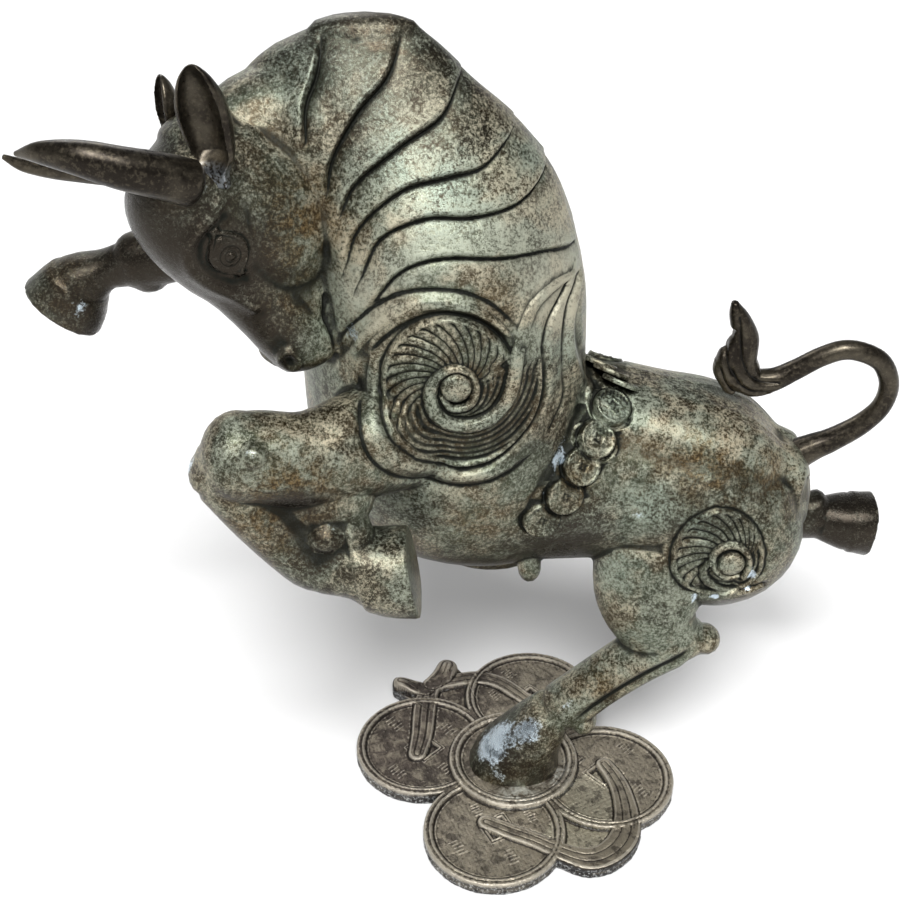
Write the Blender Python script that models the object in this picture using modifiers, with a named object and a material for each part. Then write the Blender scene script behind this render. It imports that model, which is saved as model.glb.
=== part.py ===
"""A bronze ox rearing on one hind leg, on a base of joined coins.

Metres, +Z up. The origin is the middle of the base's underside, the head faces -X
and the ox's left side faces -Y.
"""

import math

import bmesh
import bpy
import numpy as np
from mathutils import Matrix, Vector

MM = 0.001

# Driving sizes of the base
COIN_RADIUS = 38 * MM
COIN_SPACING = 51.9 * MM
COIN_TURN = math.radians(-13.1)
CENTRE_COIN_RADIUS = 35.9 * MM
BASE_THICKNESS = 8 * MM
RIM_WIDTH = 5.0 * MM
RIM_HEIGHT = 1.6 * MM

# Driving sizes of the figure
OX_HEIGHT = 414 * MM
FIT_GAP = 0.3 * MM

# The figure is drawn in its own units: a 414 unit high ox, whose sole stands at 8 units
FIGURE_HEIGHT = 414.0
FIGURE_SOLE = 8.0
UNIT = OX_HEIGHT / FIGURE_HEIGHT
MIDDLE_Y = 35.0
VOXEL = 1.5
OX_TRIANGLES = 6500
BASE_TRIANGLES = 1700
PLAIN_FACTOR = 2.0

# Head frame: poll, direction of the muzzle, the ox's left, and the forehead
HEAD_ORIGIN = np.array((-149.0, 0.0, 367.5))
HEAD_FORWARD = np.array((0.334, -0.162, -0.928))
HEAD_LEFT = np.array((0.487, -0.814, 0.318))
HEAD_UP = np.array((-0.807, -0.558, -0.193))


def smooth_path(stations, per_span):
    """Catmull-Rom values between the stations, every number of a station alike."""
    rows = np.array(stations, float)
    ends = np.vstack((2 * rows[0] - rows[1], rows, 2 * rows[-1] - rows[-2]))
    out = []
    for i in range(1, len(ends) - 2):
        a, b, c, d = ends[i - 1:i + 3]
        for t in np.arange(per_span) / per_span:
            out.append(0.5 * (2 * b + (c - a) * t + (2 * a - 5 * b + 4 * c - d) * t ** 2
                              + (3 * b - a - 3 * c + d) * t ** 3))
    out.append(ends[-2])
    return np.array(out)


def loft(bm, stations, lateral=(0, 1, 0), plane=None, per_span=6, sides=28, square=2.0,
         dome=0.5):
    """A closed limb through stations of x, y, z, half width across and half depth.

    Across is the lateral direction, depth is square to it and to the path, or to the
    plane's normal where one is given. Each end is closed by a dome, as deep as a share
    of the end's smaller half size.
    """
    rows = smooth_path(stations, per_span)
    centres, widths, depths = rows[:, :3], rows[:, 3], rows[:, 4]
    if plane is None:
        normals = np.gradient(centres, axis=0)
    else:
        normals = np.tile(np.array(plane, float), (len(rows), 1))
    normals /= np.linalg.norm(normals, axis=1)[:, None]
    rings = [(centres[i], normals[i], widths[i], depths[i]) for i in range(len(rows))]
    for end, sign in ((0, -1), (-1, 1)):
        centre, normal, width, depth = rings[end]
        caps = []
        for angle in (30, 55, 75):
            lift = math.sin(math.radians(angle)) * dome * min(width, depth)
            shrink = math.cos(math.radians(angle)) if dome else 1.0
            caps.append((centre + sign * normal * lift, normal, width * shrink, depth * shrink))
        if dome:
            rings = caps[::-1] + rings if end == 0 else rings + caps
    turn = np.linspace(0, 2 * np.pi, sides, endpoint=False)
    power = 2.0 / square
    across = np.sign(np.cos(turn)) * np.abs(np.cos(turn)) ** power
    along = np.sign(np.sin(turn)) * np.abs(np.sin(turn)) ** power
    previous = None
    first = None
    for centre, normal, width, depth in rings:
        side = np.array(lateral, float)
        side -= normal * side.dot(normal)
        side /= np.linalg.norm(side)
        deep = np.cross(normal, side)
        points = centre + np.outer(across * width, side) + np.outer(along * depth, deep)
        ring = [bm.verts.new(p) for p in points]
        if previous:
            for k in range(sides):
                n = (k + 1) % sides
                bm.faces.new((previous[k], previous[n], ring[n], ring[k]))
        first = first or ring
        previous = ring
    bm.faces.new(first[::-1])
    bm.faces.new(previous)


def ball(bm, centre, radii, axes=None):
    """An ellipsoid, on the world's axes or on three given ones."""
    frame = np.eye(3) if axes is None else np.array(axes, float)
    made = bmesh.ops.create_uvsphere(bm, u_segments=28, v_segments=18, radius=1.0)
    for vert in made["verts"]:
        vert.co = Vector(np.array(centre) + (np.array(vert.co) * np.array(radii)) @ frame)


def head_point(forward, left, up):
    """A point of the head's own frame, in the figure's."""
    return HEAD_ORIGIN + HEAD_FORWARD * forward + HEAD_LEFT * left + HEAD_UP * up


def head_stations(rows):
    """Stations given as forward, left, up, half width, half depth in the head's frame."""
    return [(*head_point(f, s, n), w, d) for f, s, n, w, d in rows]


HEAD_AXES = (HEAD_FORWARD, HEAD_LEFT, HEAD_UP)


def trunk_forms(bm):
    """Forequarters, hump, neck, barrel and rump."""
    m = MIDDLE_Y
    loft(bm, [(-14, m, 142, 24, 32), (-21, m, 151, 40, 50), (-30, m, 170, 54, 62),
              (-35, m, 205, 62, 69), (-38, m, 250, 64, 69), (-38, m, 290, 62, 67),
              (-45, m, 322, 55, 67), (-54, m, 348, 46, 66), (-67, m, 372, 36, 62),
              (-76, m, 390, 27, 52), (-76, m, 404, 18, 39), (-72, m, 413, 10, 25)],
         plane=(0, 0, 1), sides=40, dome=0.75)
    loft(bm, [(-70, m, 350, 36, 44), (-92, m - 3, 358, 34, 44), (-114, 27, 359, 29, 40),
              (-134, 14, 350, 24, 31)], sides=32)
    loft(bm, [(-20, m, 193, 56, 55), (20, m, 191, 50, 54), (46, m, 188, 44, 53),
              (72, m, 184, 45, 50), (96, m, 179, 48, 49), (116, m, 174, 43, 45),
              (132, m, 171, 31, 32)], plane=(1, 0, 0), sides=36, dome=0.6)


def hind_leg_forms(bm):
    """The standing left hind leg, and the right one kicked out behind."""
    ball(bm, (101, 14, 160), (44, 29, 45))
    loft(bm, [(73, 12, 150, 23, 36), (69, 6, 127, 20, 30), (72, 2, 111, 17, 24),
              (79, 0, 100, 14, 18)], dome=0.6)
    loft(bm, [(93, 1, 99, 11, 11), (81, 0, 98, 14, 16), (64, 0, 85, 13, 15),
              (47, 0, 70, 13, 14), (35, 0, 58, 13.5, 14), (26, 0, 49, 14, 14)])
    ball(bm, (99, 0, 98), (8, 9, 8))
    ball(bm, (37, 0, 42), (8, 13, 8))
    loft(bm, [(21, 0, 50, 13, 12), (15, 0, 41, 16, 15), (8, 0, 29, 19, 19), (2, 0, 17, 20.5, 23),
              (0, 0, 6, 21, 25.5)], plane=(0, 0, 1), square=2.3, dome=0)
    far = 2 * MIDDLE_Y
    ball(bm, (101, far - 14, 160), (44, 29, 45))
    loft(bm, [(92, far - 8, 140, 22, 30), (112, far, 130, 17, 21), (140, far + 4, 126, 12, 15),
              (162, far + 5, 123, 12, 14), (174, far + 5, 121, 11, 12)])
    ball(bm, (168, far + 5, 132), (6, 9, 6))
    loft(bm, [(172, far + 5, 121, 12, 12), (184, far + 5, 119, 16, 15),
              (199, far + 5, 117, 17, 17.5)], plane=(1, 0, -0.12), square=2.4, dome=0)


def fore_leg_forms(bm):
    """The folded left foreleg and the outstretched right one."""
    loft(bm, [(-45, -2, 238, 26, 28), (-72, -22, 239, 24, 27), (-100, -38, 240, 21, 23),
              (-122, -45, 246, 20, 22), (-133, -46, 244, 18, 22)], dome=0.6)
    ball(bm, (-96, -40, 219), (26, 15, 17))
    ball(bm, (-84, -45, 204), (13, 13, 13))
    ball(bm, (-137, -46, 241), (14, 16, 16))
    ball(bm, (-144, -46, 239), (9, 13, 10))
    ball(bm, (-130, -47, 248), (17, 20, 21))
    ball(bm, (-121, -61, 258), (6, 6, 6))
    ball(bm, (-92, -55, 208), (8, 7, 7))
    loft(bm, [(-137, -45, 236, 16, 15), (-124, -46, 219, 15, 16), (-111, -47, 203, 14, 16),
              (-99, -48, 191, 14, 16), (-92, -48, 186, 14, 13)])
    loft(bm, [(-98, -48, 189, 14, 15), (-84, -48, 188, 15.5, 17), (-76, -48, 184.5, 18, 20.5),
              (-66, -48, 182.5, 19.5, 21.5), (-52.3, -48, 182.5, 20.5, 21.5)],
         plane=(0.985, 0, 0.17), square=2.4, dome=0.0)
    far = 2 * MIDDLE_Y
    loft(bm, [(-60, far - 8, 255, 26, 30), (-100, far, 280, 20, 24), (-135, far + 6, 288, 15, 18),
              (-165, far + 8, 286, 14, 15), (-190, far + 8, 281, 14, 15),
              (-196, far + 8, 280, 13, 14)])
    ball(bm, (-187, far + 8, 271), (10, 10, 7))
    loft(bm, [(-192, far + 8, 280, 12, 13), (-207, far + 8, 276, 11, 10),
              (-217, far + 8, 271, 14, 14), (-225, far + 8, 264, 17, 19),
              (-233, far + 8, 254, 18, 22)], square=2.2, dome=0.12)


def head_forms(bm):
    """Skull, cheeks, muzzle and chin, in the head's frame."""
    loft(bm, head_stations([(-12, 0, -10, 18, 16), (-4, 0, -4, 25, 25), (6, 0, 1, 28, 29),
                            (20, 0, 1, 27, 31), (36, 0, -1, 25, 29), (50, 0, -5, 21, 26),
                            (62, 0, -9, 18, 22), (78, 0, -13, 16, 19), (92, 0, -18, 16, 19),
                            (101, 0, -20, 15, 17)]),
         lateral=HEAD_LEFT, plane=HEAD_FORWARD, sides=32, dome=0.45)
    loft(bm, head_stations([(2, 0, -16, 24, 26), (16, 0, -20, 27, 33), (34, 0, -23, 26, 34),
                            (50, 0, -24, 22, 28), (66, 0, -25, 17, 21), (82, 0, -26, 14, 15)]),
         lateral=HEAD_LEFT, plane=HEAD_FORWARD, sides=32, dome=0.5)
    for side in (-1, 1):
        ball(bm, head_point(33, side * 12, -25), (36, 16, 28), HEAD_AXES)
        ball(bm, head_point(94, side * 8.5, -8), (9, 7, 7), HEAD_AXES)
    loft(bm, head_stations([(74, 0, -30, 12, 11), (90, 0, -33, 12, 10), (98, 0, -33, 11, 9)]),
         lateral=HEAD_LEFT)


TAIL_ROOT = [(136, MIDDLE_Y, 189, 8, 8), (143, MIDDLE_Y, 193, 8, 8), (150, MIDDLE_Y, 197, 7, 7),
             (158, MIDDLE_Y, 201, 6.2, 6.2)]


def tail_forms(bm):
    """A tube that loops back over the rump, with a tuft of locks standing at its end."""
    m = MIDDLE_Y
    loft(bm, TAIL_ROOT
         + [(171, m, 210, 5.5, 5.5), (180, m, 221, 5, 5), (182, m, 234, 5, 5),
              (177, m, 246, 5, 5), (168, m, 252, 5, 5), (157, m, 254, 5, 5),
              (146, m, 250, 5, 5), (135, m, 243, 5.2, 5.2), (124, m, 237, 6, 6),
              (113, m, 236, 7, 8), (107, m, 243, 8, 10)], sides=16)
    loft(bm, [(107, m, 238, 8, 9), (107, m, 250, 7, 8), (108, m, 262, 6, 6.5),
              (104, m, 273, 5, 5), (101, m, 280, 2.5, 2)], plane=(0, 0, 1), sides=16)
    loft(bm, [(104, m, 233, 6, 5), (100, m, 243, 7, 6), (101, m, 255, 5, 4),
              (105, m, 264, 3, 2)], plane=(0, 0, 1), sides=16)


def horn_body(bm, rows):
    """A horn of round sections."""
    loft(bm, rows, (0, 0, 1), per_span=1, sides=9)


NEAR_HORN = [(-134, -21, 366, 10, 10), (-142, -27, 370.5, 10, 10), (-150, -31, 375, 9.7, 9.4),
             (-157, -34, 378, 9.4, 9), (-168, -37, 382, 8.8, 8.3), (-183, -38, 386.5, 7.4, 6.8),
             (-199, -34, 387, 4.8, 4.4), (-211, -28, 384, 1.2, 1.2)]
FAR_HORN = [(-157, 16, 353, 10, 10), (-164, 18.5, 354, 10, 10), (-172, 21, 355, 9.2, 9.2),
            (-184, 21, 356, 8.4, 8.4), (-196, 17, 358, 7, 7), (-208, 12, 360, 5, 5),
            (-219, 6, 364, 3, 3), (-226, 3, 369, 1.2, 1.2)]


# Where each piece's flat root stands on the ox: a point of the plane, and its normal
HORN_LEFT_ROOT = ((-142, -26, 368.5), (-0.45, -0.74, 0.50))
HORN_RIGHT_ROOT = ((-164, 18, 354), (-0.88, 0.48, -0.03))
TAIL_SEAT = ((142.7, MIDDLE_Y, 192.5), (0.88, 0.0, 0.475))
EAR_LEFT_ROOT = ((-131.5, -19.5, 373.0), (0.05, -0.38, 0.92))
EAR_RIGHT_ROOT = ((-154.5, 17.0, 377.5), (-0.35, 0.28, 0.89))


def new_object(name, bm, collection):
    mesh = bpy.data.meshes.new(name)
    bm.to_mesh(mesh)
    bm.free()
    made = bpy.data.objects.new(name, mesh)
    collection.objects.link(made)
    return made


def voxel_union(obj, size):
    """Join the overlapping forms of a mesh into one skin."""
    remesh = obj.modifiers.new("Union", "REMESH")
    remesh.mode = "VOXEL"
    remesh.voxel_size = size
    remesh.adaptivity = 0.0
    settle(obj)


def mesh_arrays(mesh):
    points = np.empty(len(mesh.vertices) * 3)
    mesh.vertices.foreach_get("co", points)
    edges = np.empty(len(mesh.edges) * 2, int)
    mesh.edges.foreach_get("vertices", edges)
    return points.reshape(-1, 3), edges.reshape(-1, 2)


def relax(mesh, rounds, share=0.5):
    """Even out a skin without shrinking it."""
    points, edges = mesh_arrays(mesh)
    a, b = edges.T
    count = np.bincount(edges.ravel(), minlength=len(points))[:, None]
    for i in range(rounds):
        for step in (share, -share * 1.03):
            total = np.empty_like(points)
            for axis in range(3):
                total[:, axis] = (np.bincount(a, points[b, axis], len(points))
                                  + np.bincount(b, points[a, axis], len(points)))
            points = points + step * (total / count - points)
    mesh.vertices.foreach_set("co", points.ravel())
    mesh.update()


def groove(distance, width):
    """A round-bottomed cut: 1 on the line, 0 beyond about twice the width."""
    return np.exp(-(distance / width) ** 2)


def step(value, width):
    """Smooth 0 to 1 as the value passes through nought."""
    return 1.0 / (1.0 + np.exp(-np.clip(value / width, -40, 40)))


def line_field(side, path, per_span=5):
    """Distance to a curve in the side plane, which side of it, and the share along it."""
    line = smooth_path(path, per_span)
    best = np.full(len(side), 1e9)
    left = np.zeros(len(side))
    share = np.zeros(len(side))
    spans = np.linalg.norm(np.diff(line, axis=0), axis=1)
    reached = np.concatenate(([0], np.cumsum(spans))) / spans.sum()
    for i in range(len(line) - 1):
        along = line[i + 1] - line[i]
        offset = side - line[i]
        t = np.clip(offset @ along / (along @ along), 0, 1)
        gap = np.linalg.norm(offset - np.outer(t, along), axis=1)
        nearer = gap < best
        best = np.where(nearer, gap, best)
        turn = along[0] * offset[:, 1] - along[1] * offset[:, 0]
        left = np.where(nearer, np.sign(turn), left)
        share = np.where(nearer, reached[i] + t * (reached[i + 1] - reached[i]), share)
    return best, left, share


# Grooves between the locks of the mane, from beside the cheek to the crest: x, z
MANE = (((-97, 374), (-97, 389), (-92, 402), (-90, 414)),
        ((-89, 352), (-86, 369), (-75, 387), (-62, 400), (-56, 414)),
        ((-84, 344), (-76, 360), (-56, 375), (-39, 384), (-31, 396)),
        ((-82, 322), (-75, 342), (-56, 358), (-36, 362), (-21, 364), (-9, 372)),
        ((-76, 317), (-66, 338), (-46, 347), (-25, 346), (-4, 348), (11, 357)),
        ((-71, 308), (-57, 325), (-38, 331), (-12, 328), (8, 325), (25, 317)))
LOCK_RISE = 2.6
LOCK_CUT = 2.6

# The scrolls in the side plane: eye, its radius, the winding ridge with its half width,
# the rim round the eye, number and sweep of the blades, and where they stand strongest
SHOULDER_SCROLL = (
    (-32.6, 271.7), 6.8,
    ((-38.8, 267.1, 1.0), (-35.4, 261.8, 1.3), (-29.8, 261.2, 1.4), (-25.3, 264.0, 1.5),
     (-23.6, 270.2, 1.5), (-25.4, 276.8, 1.5), (-29.9, 280.6, 1.6), (-34.7, 281.1, 1.8),
     (-39.4, 278.5, 2.1), (-43.2, 273.3, 2.4), (-44.3, 266.9, 2.7), (-42.6, 259.7, 2.8),
     (-38.1, 254.5, 2.8), (-31.2, 251.7, 2.7), (-23.5, 251.4, 2.7), (-15.8, 254.3, 2.7),
     (-10.2, 260.4, 2.7), (-7.2, 267.7, 2.6), (-6.0, 276.1, 2.5), (-4.8, 285.6, 2.4),
     (-2.5, 295.0, 2.3), (0.8, 302.8, 2.2), (5.7, 307.0, 2.0), (13.0, 309.0, 1.6),
     (20.0, 308.0, 1.0)),
    ((-64.4, 271.9), (-62.0, 284.0), (-57.1, 293.2), (-48.8, 300.2), (-36.7, 303.6),
     (-26.6, 301.0), (-16.3, 293.4), (-10.3, 283.3), (4.5, 282.2), (5.5, 269.1), (5.0, 257.6),
     (0.5, 246.7), (-8.3, 237.2), (-18.3, 231.8), (-32.5, 230.7), (-43.8, 237.0),
     (-53.4, 247.2), (-60.9, 257.1), (-63.8, 264.3)),
    30, 34.0, 108.0, 98.0)
HIP_SCROLL = (
    (104.4, 160.0), 6.4,
    ((108.5, 152.6, 0.8), (103.1, 151.6, 1.2), (97.5, 156.0, 1.4), (94.6, 162.6, 1.5),
     (97.0, 168.6, 1.5), (102.4, 171.2, 1.5), (108.4, 169.4, 1.5), (112.4, 163.6, 1.4),
     (113.4, 157.0, 1.2), (111.4, 150.4, 1.0)),
    ((78.7, 151.4), (77.2, 161.9), (79.2, 171.6), (83.0, 181.2), (89.0, 187.0), (94.7, 189.5),
     (102.6, 187.6), (109.8, 182.3), (114.7, 176.1), (117.6, 168.4), (119.0, 160.0),
     (118.0, 151.0), (112.0, 143.5), (104.0, 140.0), (95.0, 139.0), (86.0, 142.0)),
    26, 30.0, 128.0, 100.0)
HIP_TAIL = ((93.0, 160.0, 1.2), (91.0, 154.5, 1.5), (93.0, 147.8, 1.8), (98.0, 142.6, 1.9),
            (105.5, 139.4, 1.9), (114.0, 138.0, 1.7), (122.4, 140.6, 1.2))

# Bands round the shoulder scroll, each with its half width, and the grooves beside them
SHOULDER_BANDS = (((-69.0, 283.0, 1.5), (-70.0, 268.0, 2.4), (-66.0, 253.0, 2.8),
                   (-57.0, 240.5, 2.8), (-46.0, 231.0, 2.8), (-34.0, 224.0, 2.6),
                   (-20.0, 223.0, 2.4), (-8.0, 226.0, 1.8)),
                  ((-79.0, 283.0, 1.2), (-72.5, 294.0, 1.8), (-63.5, 303.5, 2.0),
                   (-54.0, 309.3, 2.0), (-44.0, 311.5, 2.0), (-34.0, 311.0, 1.8),
                   (-24.0, 307.5, 1.5), (-15.0, 301.0, 1.2), (-9.0, 294.0, 0.8)))
SHOULDER_GROOVES = (((-71.1, 285.5), (-63.9, 294.1), (-56.9, 300.5), (-48.1, 305.6),
                     (-40.0, 307.4), (-30.0, 306.0), (-22.0, 302.4), (-14.4, 296.2),
                     (-9.0, 289.0)),
                    ((-88.8, 281.0), (-81.5, 293.2), (-70.5, 306.0), (-60.1, 313.8),
                     (-50.0, 317.0), (-40.0, 317.4), (-30.0, 316.0), (-19.9, 311.5),
                     (-12.0, 305.0), (-5.7, 297.6)),
                    ((-77.0, 272.0), (-74.0, 254.0), (-65.0, 238.0), (-52.0, 225.5),
                     (-38.0, 218.5), (-22.0, 217.0), (-8.0, 221.0), (4.0, 229.0)))
BAND_EDGE = ((17, 305), (9, 294), (7, 280), (8, 264), (5, 249), (-4, 238), (-16, 229),
             (-30, 226))
BAND_BACK = ((23, 305), (18.5, 298), (17, 290), (16.6, 276), (17.5, 262), (18, 250), (12, 238))
BACK_RIDGE = ((24, 303), (21.7, 296), (19.8, 288), (20.5, 276), (23.6, 262), (28, 247),
              (34, 237), (40, 230))
FLANK_RIDGE = ((44, 234), (56, 231), (68, 226.5), (82, 222.5), (99, 219), (115, 213),
               (130, 203), (141, 192))
TENDON = ((90, 101), (74, 89), (56, 74), (42, 61), (32, 50))

# Rings where the hooves begin: a point, the way to the sole, and the reach
HOOF_RINGS = (((-79.0, -48.0, 187.0), (0.985, 0.0, 0.17), 26.0),
              ((8.0, 0.0, 31.0), (0.25, 0.0, -0.97), 34.0),
              ((186.0, 75.0, 119.0), (1.0, 0.0, -0.12), 24.0),
              ((-219.0, 78.0, 268.0), (-0.62, 0.0, -0.78), 26.0))


def band_field(plan, path):
    """Distance from a band's middle line, signed distance, half width and share there."""
    line = smooth_path(path, 5)
    gap, left, share = line_field(plan, line[:, :2], 1)
    spans = np.linalg.norm(np.diff(line[:, :2], axis=0), axis=1)
    reached = np.concatenate(([0], np.cumsum(spans))) / spans.sum()
    return gap, gap * left, np.interp(share, reached, line[:, 2]), share


def rounded(gap, half):
    """A rounded rib: 1 on its middle line, 0 from its edge on."""
    return np.sqrt(np.clip(1 - (gap / half) ** 2, 0, 1))


def scroll(side, eye, eye_radius, ridge, rim, blades, sweep, middle, spread):
    """Height of one scroll: domed eye, winding ridge, swept blades, rim."""
    eye = np.array(eye)
    height = np.zeros(len(side))
    near = np.flatnonzero(np.hypot(*(side - eye).T) < 52)
    if len(near) == 0:
        return height
    x, z = (side[near] - eye).T
    r = np.hypot(x, z)
    angle = np.degrees(np.arctan2(z, x))
    corners = np.array(rim) - eye
    turns = np.degrees(np.arctan2(corners[:, 1], corners[:, 0]))
    reach = np.interp(angle, turns, np.hypot(*corners.T), period=360)
    gap, _, half, _ = band_field(side[near], ridge)
    between = gap - half
    share = np.clip(between / np.maximum(between + reach - r, 0.5), 0, 1)
    inside = step(reach - r, 0.35)
    off = np.cos(np.radians(angle - middle)) - math.cos(math.radians(spread))
    strong = step(off, 0.10)
    phase = (angle - sweep * share) * blades / 360
    tooth = (phase - np.floor(phase)) ** 1.35
    blade = np.sqrt(np.clip(4 * tooth * (1 - tooth), 0, 1))
    fan = -1.7 + 1.9 * blade * (0.45 + 0.55 * share)
    lines = -1.5 + 0.6 * (0.5 + 0.5 * np.cos(between * 2 * math.pi / 2.2))
    field = strong * fan + (1 - strong) * lines
    rise = inside * step(between, 0.25) * step(r - eye_radius - 0.8, 0.3) * field
    rise += 1.0 * groove(r - reach - 0.6, 0.9) - 1.3 * groove(r - reach - 3.2, 1.2)
    rise = np.where(gap < half * 1.15, 0.2 + (0.9 + 0.5 * half) * rounded(gap, half * 1.2), rise)
    dome = 0.4 + 2.4 * rounded(r, eye_radius)
    rise = np.where(r < eye_radius, dome, rise - 1.2 * groove(r - eye_radius - 0.9, 0.7))
    height[near] = rise * step(reach + 6 - r, 0.8)
    return height


def side_carving(points):
    """Height of the carving over the plain form, on either side of the ox."""
    side = points[:, (0, 2)]
    height = np.zeros(len(points))
    for path in MANE:
        gap, left, share = line_field(side, path)
        fade = step(share - 0.02, 0.02) * step(0.99 - share, 0.03)
        fade = fade * (0.5 + 0.5 * np.sin(np.pi * np.clip(share, 0, 1)) ** 0.5)
        above = step(gap * left, 0.3)
        height += fade * (above * LOCK_RISE * np.exp(-gap / 8)
                          - (1 - above) * LOCK_CUT * np.exp(-gap / 4.5))
        height -= fade * 1.1 * groove(gap, 1.1)
    for path in SHOULDER_BANDS:
        gap, _, half, share = band_field(side, path)
        height += 1.3 * rounded(gap, half * 1.3) * step(share - 0.02, 0.02)
    for path in SHOULDER_GROOVES:
        gap, _, share = line_field(side, path)
        height -= 1.7 * groove(gap, 1.5) * step(share - 0.03, 0.02) * step(0.97 - share, 0.02)
    height += scroll(side, *SHOULDER_SCROLL) + scroll(side, *HIP_SCROLL)
    gap, _, half, _ = band_field(side, SHOULDER_SCROLL[2][18:])
    height += 1.4 * rounded(gap, half * 1.25) * (side[:, 1] > 294)
    gap, _, half, _ = band_field(side, HIP_TAIL)
    height += 1.5 * rounded(gap, half * 1.2) - 0.9 * groove(gap - half * 1.7, 0.8)
    gap, left, _ = line_field(side, BAND_EDGE)
    height -= 1.9 * groove(gap, 1.3)
    height += 1.2 * step(gap * left, 0.5) * np.exp(-gap / 7)
    gap, _, _ = line_field(side, BAND_BACK)
    height -= 1.6 * groove(gap, 1.2)
    gap, left, _ = line_field(side, BACK_RIDGE)
    height += 1.7 * groove(gap, 1.8) - 1.5 * step(gap * left, 0.5) * groove(gap - 3.6, 1.6)
    gap, left, _ = line_field(side, FLANK_RIDGE)
    under = 1 - step(gap * left, 1.5)
    height += 2.6 * np.exp(-(gap / 6.0) ** 2) - 3.0 * under * np.exp(-((gap - 8) / 7.5) ** 2)
    return height


# The strap of coins over the waist, upper coin first: x, z on the side of the ox
STRAP = ((52, 243), (43, 235), (35, 225), (28, 215), (20, 202), (9, 190), (-1, 178), (-8, 165))
STRAP_RADIUS = 9.3
STRAP_THICK = 1.9


def strap_carving(points, normals):
    """Height of the strap's coins, each lying over the one below it."""
    height = np.zeros(len(points))
    for side in (-1, 1):
        half = (points[:, 1] - MIDDLE_Y) * side > 0
        for x, z in STRAP[::-1]:
            near = np.hypot(points[:, 0] - x, points[:, 2] - z) + np.where(half, 0, 900)
            near += np.where(normals[:, 1] * side > 0, 0, 900)
            first = np.argmin(near)
            offset = points - points[first]
            face = normals[first]
            across = np.cross(face, (0.55, 0, 0.84))
            across /= np.linalg.norm(across)
            along = np.cross(across, face)
            u, v = offset @ across, offset @ along
            gap = np.where(np.abs(offset @ face) < 7, np.hypot(u, v), 900)
            coin = gap < STRAP_RADIUS
            fall = -1.0 * np.clip(v / STRAP_RADIUS, -1, 1)
            rise = STRAP_THICK + fall + 0.55 * groove(gap - STRAP_RADIUS + 1.3, 0.8)
            square = np.maximum(np.abs(u), np.abs(v))
            rise += 0.4 * groove(square - 2.5, 0.5) - 0.5 * step(2.0 - square, 0.2)
            rise += 0.16 * np.sin(u * 3.1 + v * 1.3) * np.sin(v * 2.9)
            height = np.where(coin, rise, height)
            height = np.where(coin | (height > 0), height, height - 0.9 * groove(gap - 9.8, 0.8))
    return height


BROW = ((16.7, 1.8), (20.9, 5.0), (22.7, 10.6), (25.6, 16.1), (30.0, 19.6), (36.8, 20.2),
        (43.1, 18.1), (50.6, 13.1), (57.7, 6.9), (66.0, 1.0))
SOCKET = ((22.0, 2.0), (26.0, 8.7), (29.5, 13.6), (35.5, 15.6), (43.4, 13.6), (50.3, 7.4),
          (52.5, 1.0))
JAW_EDGE = ((50, -4), (57, -11), (61, -20), (60, -30), (54, -40))
MOUTH = ((118, -25), (104, -26.5), (94, -28), (85, -28.5), (77, -31.5))


def head_carving(local):
    """Height of the eye, brow, nostril and mouth, in the head's frame."""
    f, s, n = local.T
    side = np.stack((f, n), 1)
    outer = step(np.abs(s) - 9, 1.0)
    along = np.array((18.0, -4.0)) / math.hypot(18, 4)
    u = (side - (38.0, 4.6)) @ along
    v = (side - (38.0, 4.6)) @ np.array((-along[1], along[0]))
    lid = np.abs(v) - 6.8 * np.clip(1 - (u / 10.3) ** 2, 0, 1)
    inside = step(-lid, 0.25) * step(10.3 - np.abs(u), 0.25)
    r = np.hypot(u - 1.4, v)
    eye = inside * (1.9 * np.sqrt(np.clip(1 - (r / 10.0) ** 2, 0, 1)) - 1.2)
    eye -= inside * (0.7 * groove(r - 4.5, 0.45) + 0.5 * groove(r - 2.5, 0.4))
    eye += inside * 0.4 * step(1.3 - r, 0.2)
    ring = np.abs(u) < 12.5
    eye += ring * (1.0 * groove(lid - 0.9, 0.8) - 0.8 * groove(lid - 2.6, 0.7))
    gap, _, _ = line_field(side, BROW)
    eye += 2.0 * np.exp(-(gap / 3.0) ** 2)
    gap, _, _ = line_field(side, SOCKET)
    eye -= 2.2 * np.exp(-(gap / 2.8) ** 2) * (1 - inside)
    gap, _, _ = line_field(side, JAW_EDGE)
    eye -= 1.2 * np.exp(-(gap / 4.0) ** 2)
    height = outer * eye
    hole = np.sqrt((f - 97.5) ** 2 + ((np.abs(s) - 12.5) * 0.8) ** 2 + ((n + 4.5) * 1.3) ** 2)
    height -= 3.4 * groove(hole, 3.6)
    height += 1.0 * groove(hole - 5.6, 1.2)
    gap, _, _ = line_field(side, MOUTH)
    height -= 1.7 * groove(gap, 1.3)
    return height


def leg_carving(points):
    """Height of the tendon of the standing leg, and of the rings above the hooves."""
    height = np.zeros(len(points))
    gap, left, share = line_field(points[:, (0, 2)], TENDON)
    near = (np.abs(points[:, 1]) < 18) & (points[:, 2] < 112)
    fade = near * step(share - 0.03, 0.03) * step(0.97 - share, 0.03)
    height += fade * (0.9 * groove(gap - 5.5, 3.0) - 1.8 * groove(gap, 2.4))
    for point, normal, reach in HOOF_RINGS:
        offset = points - point
        depth = offset @ np.array(normal)
        close = step(reach - np.linalg.norm(offset, axis=1), 1.0)
        height += close * (0.9 * groove(depth - 2.6, 1.6) - 1.1 * groove(depth, 1.1))
    return height


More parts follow.
